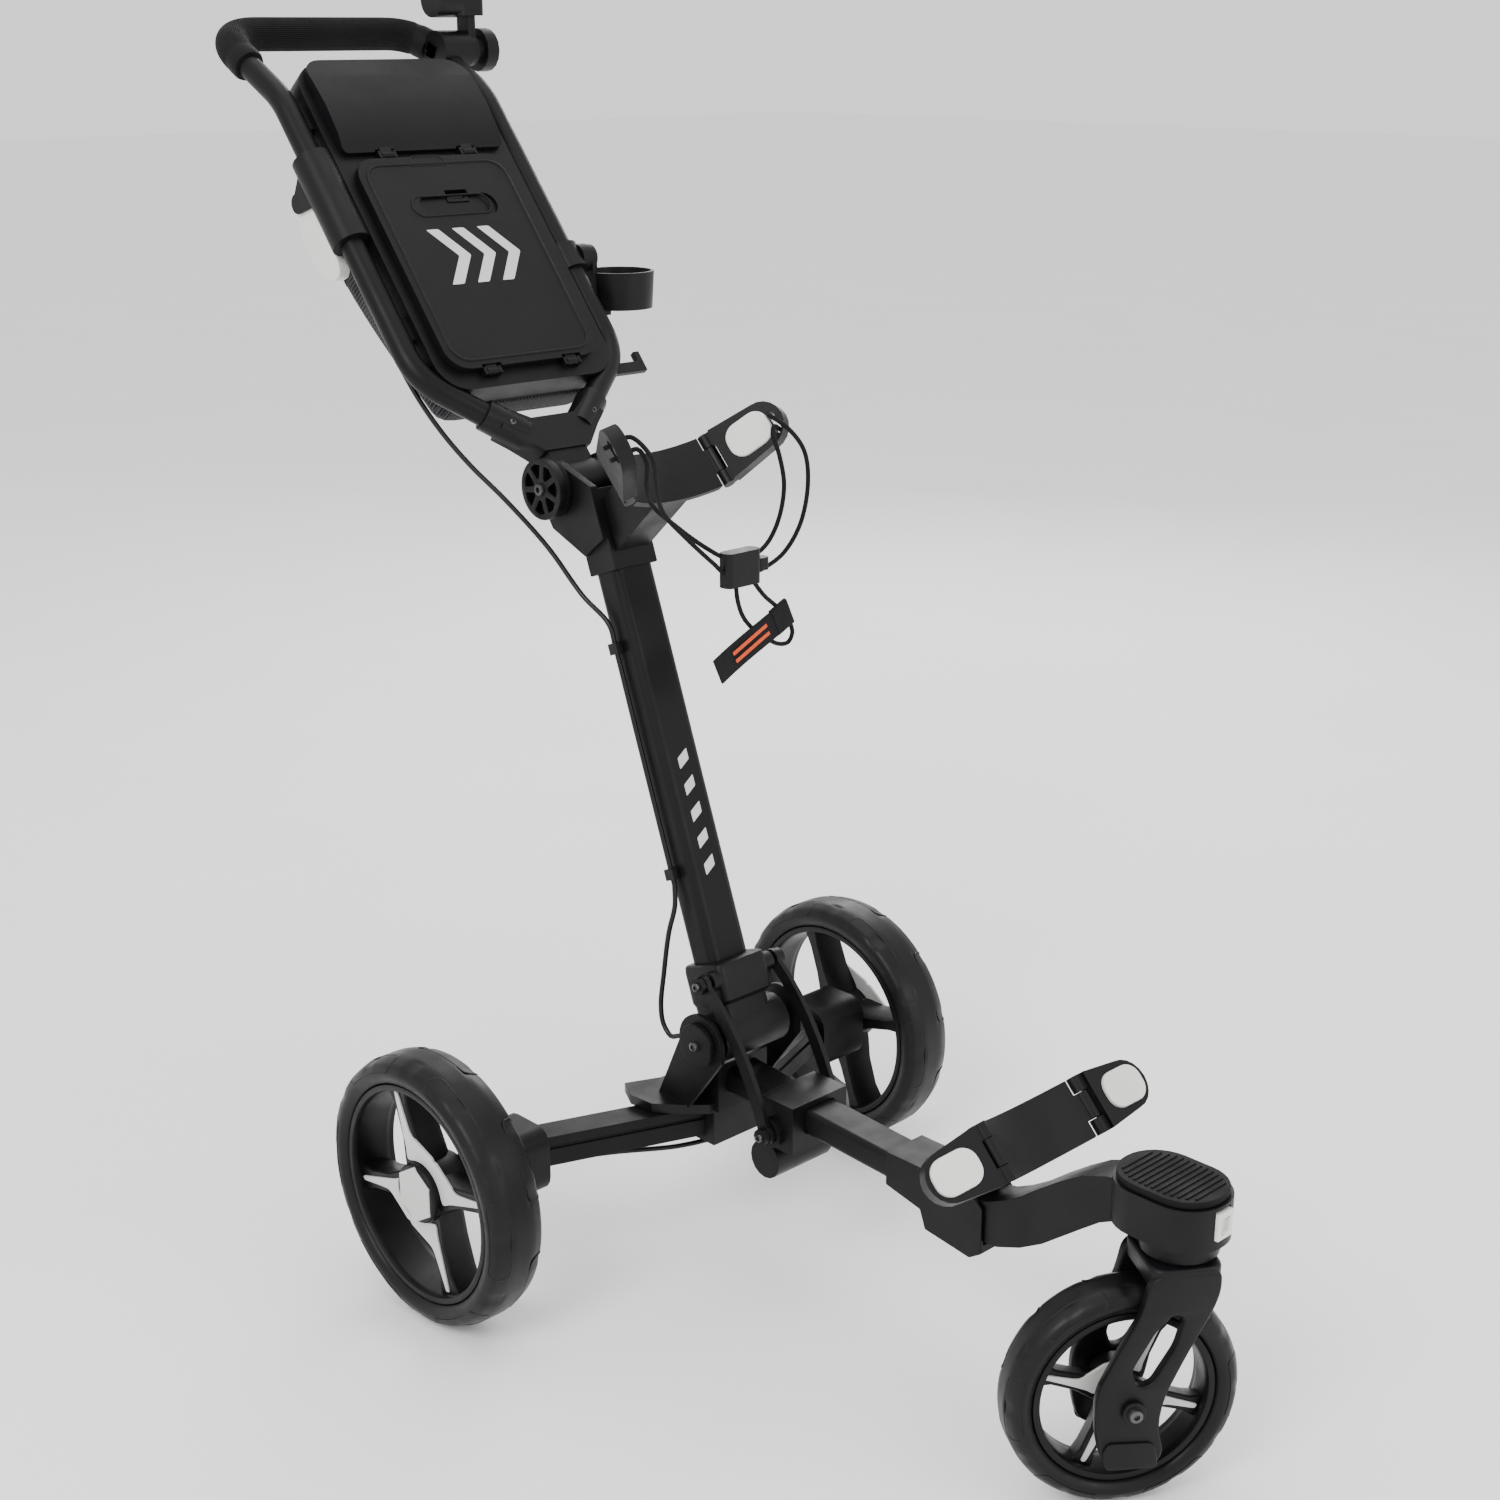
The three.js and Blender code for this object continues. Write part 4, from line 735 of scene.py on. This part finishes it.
BUNGEE = [
    (-98.4, -67.9, 740.4), (-88, -72.3, 744.5), (-77.6, -76.7, 748.6), (-70, -79, 738),
    (-62, -70, 714), (-47, -59, 696), (-25, -63, 676), (0, -73, 655),
    (20, -80, 643), (45, -81, 641), (65, -81, 650), (78, -82, 670),
    (82, -84, 698), (74, -86, 726), (70, -82, 744), (77.6, -76.7, 748.6),
    (88, -72.3, 744.5), (98.4, -67.9, 740.4), (105, -62, 742), (105, -59, 747),
    (98.4, -59.7, 749.2), (88, -64.1, 753.3), (77.6, -68.5, 757.4), (74, -78, 757),
    (82, -90, 747), (95, -95, 728), (100, -95, 700), (95, -91, 664),
    (80, -86, 640), (60, -82, 629), (40, -81, 626), (20, -82, 627),
    (2, -81, 642), (-22, -74, 666), (-44, -70, 690), (-62, -82, 716),
    (-71, -87, 742), (-77.6, -68.5, 757.4), (-88, -64.1, 753.3), (-98.4, -59.7, 749.2),
]


def bungee():
    path = [TROLLEY @ p for p in spline_path(BUNGEE, 3)]
    curve = bpy.data.curves.new("bungee", "CURVE")
    curve.dimensions = "3D"
    curve.bevel_depth = 2 * MM
    curve.bevel_resolution = 5
    curve.use_fill_caps = True
    spline = curve.splines.new("POLY")
    spline.points.add(len(path) - 1)
    for point, place in zip(spline.points, path):
        point.co = (*place, 1)
    spline.use_smooth = True
    obj = bpy.data.objects.new("bungee", curve)
    finish_piece(obj, "main_post", "cord_cover")
    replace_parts(obj, "bungee_cord")


def trolley_point(x, y, z):
    return TROLLEY @ Vector((x, y, z))


def main_point(x, back, up):
    return MAIN @ Vector((x, back, up))


def handle_point(x, back, up):
    return HANDLE @ Vector((x, back, up))


CLIP_X = -26
CLIP_BACK = 11.8


def cables():
    upper = [
        handle_point(-112, 14.6, 261.65), handle_point(-112, 14.6, 215), handle_point(-111, 15, 158),
        handle_point(-104, 20, 115), handle_point(-91, 27, 82), handle_point(-78, 27.6, 47),
        trolley_point(-62, 118, 676), trolley_point(-43, 84, 636), trolley_point(-32, 52, 597),
        main_point(CLIP_X - 1, CLIP_BACK, 374), main_point(CLIP_X, CLIP_BACK, 352),
        main_point(CLIP_X, CLIP_BACK, 290), main_point(CLIP_X, CLIP_BACK, 220),
        main_point(CLIP_X, CLIP_BACK, 148), main_point(CLIP_X, CLIP_BACK, 138.5),
    ]
    lower = [
        main_point(CLIP_X, CLIP_BACK, 138.3), trolley_point(-29, -62, 336), trolley_point(-33, -58, 310),
        trolley_point(-36, -54, 270), trolley_point(-38, -52, 240), trolley_point(-39, -56, 224),
        trolley_point(-39, -66, 215), trolley_point(-39, -77, 219), trolley_point(-39, -83.4, 220),
    ]
    axle = [
        trolley_point(169.4, -20, 116), trolley_point(158, -20, 115), trolley_point(94, -44, 111),
        trolley_point(40, -78, 111), trolley_point(0, -88, 111), trolley_point(-40, -78, 111),
        trolley_point(-94, -44, 111), trolley_point(-158, -20, 115), trolley_point(-169.4, -20, 116),
    ]
    for name, points, node in (
        ("cable_upper", upper, "brake_cable_upper"),
        ("cable_lower", lower, "brake_cable_lower"),
        ("cable_axle", axle, "brake_cable_axle"),
    ):
        cable = swept(name, spline_path(points, 0.004), 2.3 * MM, 16, ONE)
        finish_piece(cable, BODY_OF[node] if name == "cable_axle" else None, "cable_sheath", 60)
        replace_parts(cable, node)
        if name == "cable_upper":
            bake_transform(cable)
        if name == "cable_lower":
            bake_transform(cable)


# ---------- mesh bag ----------

BAG_LOW = 97
BAG_HIGH = 272
BAG_FRONT = 14.8


def bag_ring(height):
    """The bag's outline at one height: a flat front and a rounded, hanging back."""
    t = (height - BAG_LOW) / (BAG_HIGH - BAG_LOW)
    depth = 25 + 38 * t ** 0.85
    half = 83 + 5 * math.sin(math.pi * min(1, t * 0.7 + 0.15))
    front = BAG_FRONT
    sag = 2.2 * math.sin(math.pi * t)
    points = []
    outline = [(-half, front), (half, front), (half - 2, front + depth), (-half + 2, front + depth)]
    for x, b in rounded(outline, 15, 6):
        swell = sag * (1 - (x / half) ** 2) if b > front + 4 else 0
        pucker = 0.5 * math.sin(x * 0.19 + t * 5) * (1 if b > front + 6 else 0)
        points.append((x, b + swell + pucker, height))
    return points


def mesh_bag():
    pulls = {97: 0.86, 99: 0.94, 103: 0.985}
    heights = [*pulls, *(110 + 9 * i for i in range(18)), 270, BAG_HIGH]
    rings = []
    for height in heights:
        ring = bag_ring(height)
        if height in pulls:
            middle = Vector((0, 24, height))
            ring = [tuple(middle + (Vector(p) - middle) * pulls[height]) for p in ring]
            ring = [(x, max(b, BAG_FRONT), z) for x, b, z in ring]
        rings.append(ring)
    size = len(rings[0])
    vertices = [p for ring in rings for p in ring]
    faces = ring_faces(len(rings), size, False, False)
    faces.append(tuple(reversed(range(size))))
    obj = mesh_object("net_pocket", vertices, faces, HANDLE)
    finish_piece(obj, "handle", "mesh_fabric", 60)
    shell = obj.modifiers.new("cloth_thickness", "SOLIDIFY")
    shell.thickness = 0.9 * MM
    shell.offset = -1
    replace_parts(obj, "mesh_bag")
    hem_ring = [Vector(p) for p in bag_ring(BAG_HIGH - 1)]
    hem = []
    for before, after in zip(hem_ring, hem_ring[1:] + hem_ring[:1]):
        count = max(1, round((after - before).length / 4))
        hem.extend(before.lerp(after, k / count) for k in range(count))
    centre = Vector((0, 40, BAG_HIGH - 1))
    rings = []
    for i, point in enumerate(hem):
        out = (point - centre).normalized()
        out.z = 0
        out.normalize()
        base = point - out * 0.6
        rings.append([base + out * a + Vector((0, 0, b)) for a, b in (
            (-1.6, -5), (-1.9, 0), (-1.0, 2.3), (0.2, 2.5), (0.8, 0), (0.8, -5),
        )])
    binding = lofted("net_binding", rings, HANDLE, loop=True, caps=False)
    finish_piece(binding, "handle", "webbing", 60)


# ---------- screws, marks and small things ----------

def screw(name, radius, place, body):
    """A pan head with a hex socket, its face towards local +Z."""
    sides = 24
    rings = []
    for r, z in ((0.02, -0.5), (1, -0.5), (1, 0.35), (0.9, 0.62), (0.7, 0.72)):
        angles = [2 * math.pi * k / sides for k in range(sides)]
        rings.append([(radius * r * math.cos(a), radius * r * math.sin(a), radius * z) for a in angles])
    for r, z in ((0.48, 0.72), (0.46, 0.3), (0.02, 0.26)):
        ring = []
        for k in range(sides):
            a = 2 * math.pi * k / sides
            hexed = math.cos(math.pi / 6) / math.cos((a % (math.pi / 3)) - math.pi / 6)
            ring.append((radius * r * hexed * math.cos(a), radius * r * hexed * math.sin(a), radius * z))
        rings.append(ring)
    obj = lofted(name, rings, place)
    finish_piece(obj, body, "steel", 35)


def facing(x, y, z, direction, base=TROLLEY):
    """A place at a point of a frame, with local +Z turned to the direction given."""
    turn = Vector(direction).to_track_quat("Z", "X").to_matrix().to_4x4()
    return base @ Matrix.Translation((x, y, z)) @ turn


RISE_BACK = UPPER_PIVOT[1] - LOWER_PIVOT[1]
RISE_UP = UPPER_PIVOT[2] - LOWER_PIVOT[2]
HIGH_BACK = RISE_BACK * math.cos(TUBE_LEAN) - RISE_UP * math.sin(TUBE_LEAN)
HIGH_UP = RISE_BACK * math.sin(TUBE_LEAN) + RISE_UP * math.cos(TUBE_LEAN)


def screws():
    for side, sign in (("left", 1), ("right", -1)):
        across = (sign, 0, 0)
        dial_face = facing(sign * 44.2, HIGH_BACK, HIGH_UP, across, MAIN)
        screw(f"dial_screw_{side}", 5.5, dial_face, "main_post")
        pivot_face = facing(sign * 56.9, LOWER_PIVOT[1], LOWER_PIVOT[2], across)
        screw(f"pivot_screw_{side}", 4.6, pivot_face, "chassis")
        screw(f"link_screw_{side}", 4.2, facing(sign * 49.6, -112.5, 280.4, across), "main_post")
        screw(f"slider_screw_{side}", 4.0, facing(sign * 49.6, -191, 165, across), f"link_{side}")
        head = cutout(f"axle_cap_{side}", [circle(9.2)], 32.8, 37.6, 1.0, sideways(FRONT_AXLE, sign))
        finish_piece(head, "caster", "black_plastic", 40)
        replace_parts(head, "front_axle_bolt")
        fork_face = facing(sign * 38.0, CASTER_TRAIL, FRONT_WHEEL["radius"], across, ONE)
        screw(f"fork_screw_{side}", 5.6, CASTER @ fork_face, "caster")
        screw(f"yoke_screw_{side}", 3.2, facing(sign * 46, -11.8, 62, (0, -1, 0), HANDLE), "handle")
        for i, (x, y) in enumerate(((30, -72), (60, -66))):
            screw(f"beam_screw_{side}_{i}", 3.0, facing(sign * x, y, 156.3, (0, 0, 1)), "chassis")


def marks():
    """Three chevrons on the lid and five slanted bars on the post."""
    place = HANDLE @ Matrix.Rotation(math.pi / 2, 4, "X")
    shifted = place @ Matrix.Translation((-5, 0, 0))
    for i, x in enumerate((-40, -12, 16)):
        outer = [(x, 200), (x + 13, 200), (x + 35, 229), (x + 13, 258), (x, 258), (x + 22, 229)]
        obj = plate(f"lid_mark_{i}", rounded(outer, 1.5, 3), 19.6, 20.25, shifted, 0)
        finish_piece(obj, "lid", "silver_trim")
    place = MAIN @ Matrix.Rotation(math.pi / 2, 4, "X")
    for i in range(5):
        low = 140 + i * 24
        outline = [(-6, low), (6, low + 7), (6, low + 17), (-6, low + 10)]
        obj = plate(f"tube_mark_{i}", rounded(outline, 1, 3), 9.9, 10.35, place, 0)
        finish_piece(obj, "main_post", "silver_trim")


def tab_stripes():
    """Two woven stripes on the webbing tab."""
    place = TAB @ Matrix.Rotation(math.pi / 2, 4, "X")
    for i, z in enumerate((-5, 3)):
        outline = [(-26, z), (26, z), (26, z + 3.4), (-26, z + 3.4)]
        obj = plate(f"tab_stripe_{i}", rounded(outline, 0.6, 2), 1.0, 1.55, place, 0)
        finish_piece(obj, "main_post", "accent")


def pad_ribs():
    """Fine ribs across the soft pad on the caster's housing."""
    place = frame_at(0, -579, 0)
    for i in range(13):
        y = -33 + i * 5.5
        reach = 31 if abs(y) < 12 else math.sqrt(max(30.0, 30.5 ** 2 - (abs(y) - 12) ** 2))
        half = reach - 3.5
        outline = [(-half, y - 1.1), (half, y - 1.1), (half, y + 1.1), (-half, y + 1.1)]
        obj = plate(f"pad_rib_{i}", rounded(outline, 0.9, 2), 261.5, 263.9, place, 0.3)
        finish_piece(obj, "chassis", "soft_black")


def circle(radius):
    angles = [2 * math.pi * k / 72 for k in range(72)]
    return [(radius * math.cos(a), radius * math.sin(a)) for a in angles]


def sideways(base, sign):
    """Turns a plate's own Z to the X direction of a frame, away from its middle."""
    return base @ Matrix.Rotation(sign * math.pi / 2, 4, "Y")


def dial(name, radius, place, body, from_x, depth):
    """A round cap with windows between its spokes, in front of a darker floor."""
    windows = []
    count = 7
    for i in range(count):
        a = 2 * math.pi * i / count
        polar = ((0.36, a - 0.16), (0.8, a - 0.33), (0.84, a), (0.8, a + 0.33), (0.36, a + 0.16))
        corners = [(radius * r * math.cos(b), radius * r * math.sin(b)) for r, b in polar]
        windows.append(rounded(corners, 1.2, 2))
    face = cutout(name, [circle(radius), *windows], from_x + depth * 0.45, from_x + depth, 0.6, place)
    finish_piece(face, body, "black_plastic", 40)
    back = cutout(f"{name}_back", [circle(radius - 1)], from_x, from_x + depth * 0.5, 0.5, place)
    finish_piece(back, body, "soft_black", 40)
    return face


def dials():
    for side, sign in (("left", 1), ("right", -1)):
        place = sideways(MAIN @ Matrix.Translation((0, HIGH_BACK, HIGH_UP)), sign)
        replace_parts(dial(f"dial_{side}", 27, place, "main_post", 31, 14), f"fold_dial_{side}")
        low = sideways(frame_at(*LOWER_PIVOT), sign)
        dial(f"pivot_dial_{side}", 19, low, "chassis", 51.4, 5)


FORK_EDGE = [
    (-22, 204), (-22, 186), (-17, 171), (1, 136), (17, 101), (21, 76), (15, 52), (24, 40), (63, 47),
    (70, 75), (71, 108), (56, 140), (39, 171), (32, 204),
]
FORK_SLOT = [(5, 166), (11, 142), (28, 113), (39, 111), (44, 126), (27, 157), (13, 171)]


def fork():
    """Two flat arms with a long slot, joined by a crown that turns under the housing."""
    upright = Matrix.Rotation(math.pi / 2, 4, "Z") @ Matrix.Rotation(math.pi / 2, 4, "X")
    for side, sign in (("left", 1), ("right", -1)):
        ends = sorted((sign * 23.8, sign * 33.2))
        arm = cutout(
            f"fork_arm_{side}", [rounded(FORK_EDGE, 12, 6), rounded(FORK_SLOT, 5, 4)], ends[0], ends[1], 2.2,
            CASTER @ upright,
        )
        finish_piece(arm, "caster", "black_plastic", 40)
        foot = [(20, 42), (62, 44), (65, 60), (60, 67), (24, 64)]
        pad_ends = sorted((sign * 32.4, sign * 35.6))
        foot_outline = [rounded(foot, 6, 5)]
        pad = cutout(f"fork_foot_{side}", foot_outline, pad_ends[0], pad_ends[1], 1.2, CASTER @ upright)
        finish_piece(pad, "caster", "black_plastic", 40)
        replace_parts(arm, "caster_fork")
    crown = rounded([(-33, -24), (33, -24), (33, 32), (-33, 32)], 13, 6)
    top = cutout("fork_crown", [crown], 190, 207.6, 3.0, CASTER)
    finish_piece(top, "caster", "black_plastic", 40)
    collar = cutout("fork_collar", [circle(27)], 203, 208, 0.8, CASTER)
    finish_piece(collar, "caster", "black_plastic", 40)


def lid_bead(name, outline, size, place, height):
    """A fine raised line on the lid, along a closed outline in X and Y, at one height."""
    rings = []
    count = len(outline)
    for i, (x, y) in enumerate(outline):
        before = Vector(outline[i - 1])
        after = Vector(outline[(i + 1) % count])
        along = (after - before).normalized()
        out = Vector((along.y, -along.x))
        rings.append([
            (x + out.x * size * math.cos(a), y + out.y * size * math.cos(a), height + size * math.sin(a))
            for a in (2 * math.pi * k / 8 for k in range(8))
        ])
    obj = lofted(name, rings, place, loop=True, caps=False)
    finish_piece(obj, "lid", "satin_plastic", 60)


def lid_details():
    place = HANDLE @ Matrix.Rotation(math.pi / 2, 4, "X")
    border = rounded([(-80, 123), (74, 123), (74, 328), (-80, 328)], 20, 8)
    lid_bead("lid_border", border, 1.5, place, 19.6)
    inner = rounded([(-38, 272), (38, 272), (45, 282), (38, 293), (-38, 293), (-45, 282)], 6, 5)
    lid_bead("lid_recess_edge", [(x - 4, y) for x, y in inner], 0.9, place, 20.0)
    tab = rounded([(-30, 326), (14, 326), (8, 336), (-24, 336)], 4, 4)
    lid_bead("lid_finger_edge", tab, 1.1, place, 19.6)


def knuckle_cover():
    """The post's lower sleeve, thick enough in front to take the links' pin."""
    rings = []
    for up, front, half in ((27, -17, 27), (31, -22.5, 29), (58, -23.5, 29), (63, -22, 28), (64.5, -19, 26)):
        ring = rounded([(-half, front), (half, front), (half, 27), (-half, 27)], 7, 5)
        rings.append([(x, b, up) for x, b in ring])
    obj = lofted("post_sleeve", rings, MAIN)
    finish_piece(obj, "main_post", "black_plastic", 35)


def strip_section(half, thick, radius):
    """The strip's section, as (y, z) points with rounded corners."""
    outline = [(-half, -thick), (half, -thick), (half, thick), (-half, thick)]
    return [(y, z) for z, y in rounded(outline, radius, 3)]


def tab_and_loop():
    """The pull tab: a folded strip of webbing on a loop of the same cord."""
    rings = []
    for k in range(33):
        t = k / 32
        x = -47 + 94 * t
        curl = 1.1 * math.sin(t * 5.2) * (1 - t * 0.4)
        rings.append([(x, y + curl, z) for y, z in strip_section(12.4, 1.2, 1.1)])
    obj = lofted("pull_tab", rings, TAB)
    finish_piece(obj, "main_post", "webbing", 50)
    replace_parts(obj, "webbing_tab")
    fold = [[(x, y, z) for y, z in strip_section(12.9, 2.4, 2)] for x in (27, 28, 46, 47)]
    piece = lofted("pull_tab_fold", fold, TAB)
    finish_piece(piece, "main_post", "webbing", 50)
    points = [
        (27, -81.5, 621), (31, -80, 604), (40, -77.5, 588), (54, -76.5, 574),
        (70, -76.5, 563), (84, -77, 556), (94, -78, 556), (98, -79, 564),
        (93, -79, 577), (80, -79, 590), (62, -80.5, 604), (48, -81.5, 619),
    ]
    cord = swept("pull_loop", [TROLLEY @ p for p in spline_path(points, 3)], 2 * MM, 14, ONE)
    finish_piece(cord, "main_post", "cord_cover", 60)


# ---------- everything that keeps its CAD shape ----------

HAND_MADE = {
    "rear_tyre_left", "rear_tyre_right", "rear_rim_left", "rear_rim_right", "front_tyre", "front_rim",
    "fold_dial_left", "fold_dial_right", "caster_fork", "webbing_tab", "front_axle_bolt", "handle_frame",
    "grip", "bungee_cord", "brake_cable_upper", "brake_cable_lower", "brake_cable_axle", "mesh_bag",
}
USUAL_EDGE = 0.8
EDGE = {
    "console_cover": 1.2, "console_lid": 0.9, "brake_lever": 2.0, "front_arm": 1.6, "main_tube": 0.3,
    "upper_socket": 1.4, "y_connector": 1.4, "umbrella_knob": 1.0, "cord_lock": 1.0,
}
for cradle in ("upper_cradle", "lower_cradle"):
    for side in ("left", "right"):
        EDGE[f"{cradle}_button_{side}"] = 1.6
        EDGE[f"{cradle}_pad_{side}"] = 1.3


def cad_parts():
    for node in sorted(frame["nodes"]):
        if node not in HAND_MADE:
            cad_detail(node, EDGE.get(node, USUAL_EDGE))


cad_parts()
bungee()
cables()
mesh_bag()
screws()
dials()
fork()
lid_details()
knuckle_cover()
tab_and_loop()
marks()
tab_stripes()
pad_ribs()


# ---------- floor and light ----------

def flat_material(name, color, rough):
    material, tree, shader = new_material(name)
    drift = ramp(tree, noise(tree, 2.5, 2), 0, 1)
    lighter = tuple(min(1.0, c * 1.02) for c in color)
    tree.links.new(mix_colors(tree, drift, color, lighter), shader.inputs["Base Color"])
    shader.inputs["Roughness"].default_value = rough
    return material


def studio():
    bpy.ops.mesh.primitive_plane_add(size=40, location=(0, 0, -0.0005))
    floor = bpy.context.object
    floor.name = "floor"
    floor.data.materials.append(flat_material("floor_paint", (0.93, 0.93, 0.93), 0.95))

    world = bpy.data.worlds.new("studio")
    bpy.context.scene.world = world
    world.use_nodes = True
    background = world.node_tree.nodes["Background"]
    background.inputs["Color"].default_value = (1, 1, 1, 1)
    background.inputs["Strength"].default_value = 1.25

    lamps = (
        ("key", (-2.6, -0.9, 2.6), 1.3, 70), ("fill", (0.6, -3.0, 1.5), 1.6, 26),
        ("top", (0.3, 0.2, 3.4), 2.2, 26), ("rim", (2.2, 1.6, 1.8), 1.4, 34),
    )
    for name, place, size, power in lamps:
        data = bpy.data.lights.new(name, "AREA")
        data.shape = "SQUARE"
        data.size = size
        data.energy = power
        lamp = bpy.data.objects.new(name, data)
        lamp.location = place
        aim = Vector((0, 0, 0.5)) - Vector(place)
        lamp.rotation_euler = aim.to_track_quat("-Z", "Y").to_euler()
        bpy.context.scene.collection.objects.link(lamp)


studio()

bpy.context.view_layer.update()
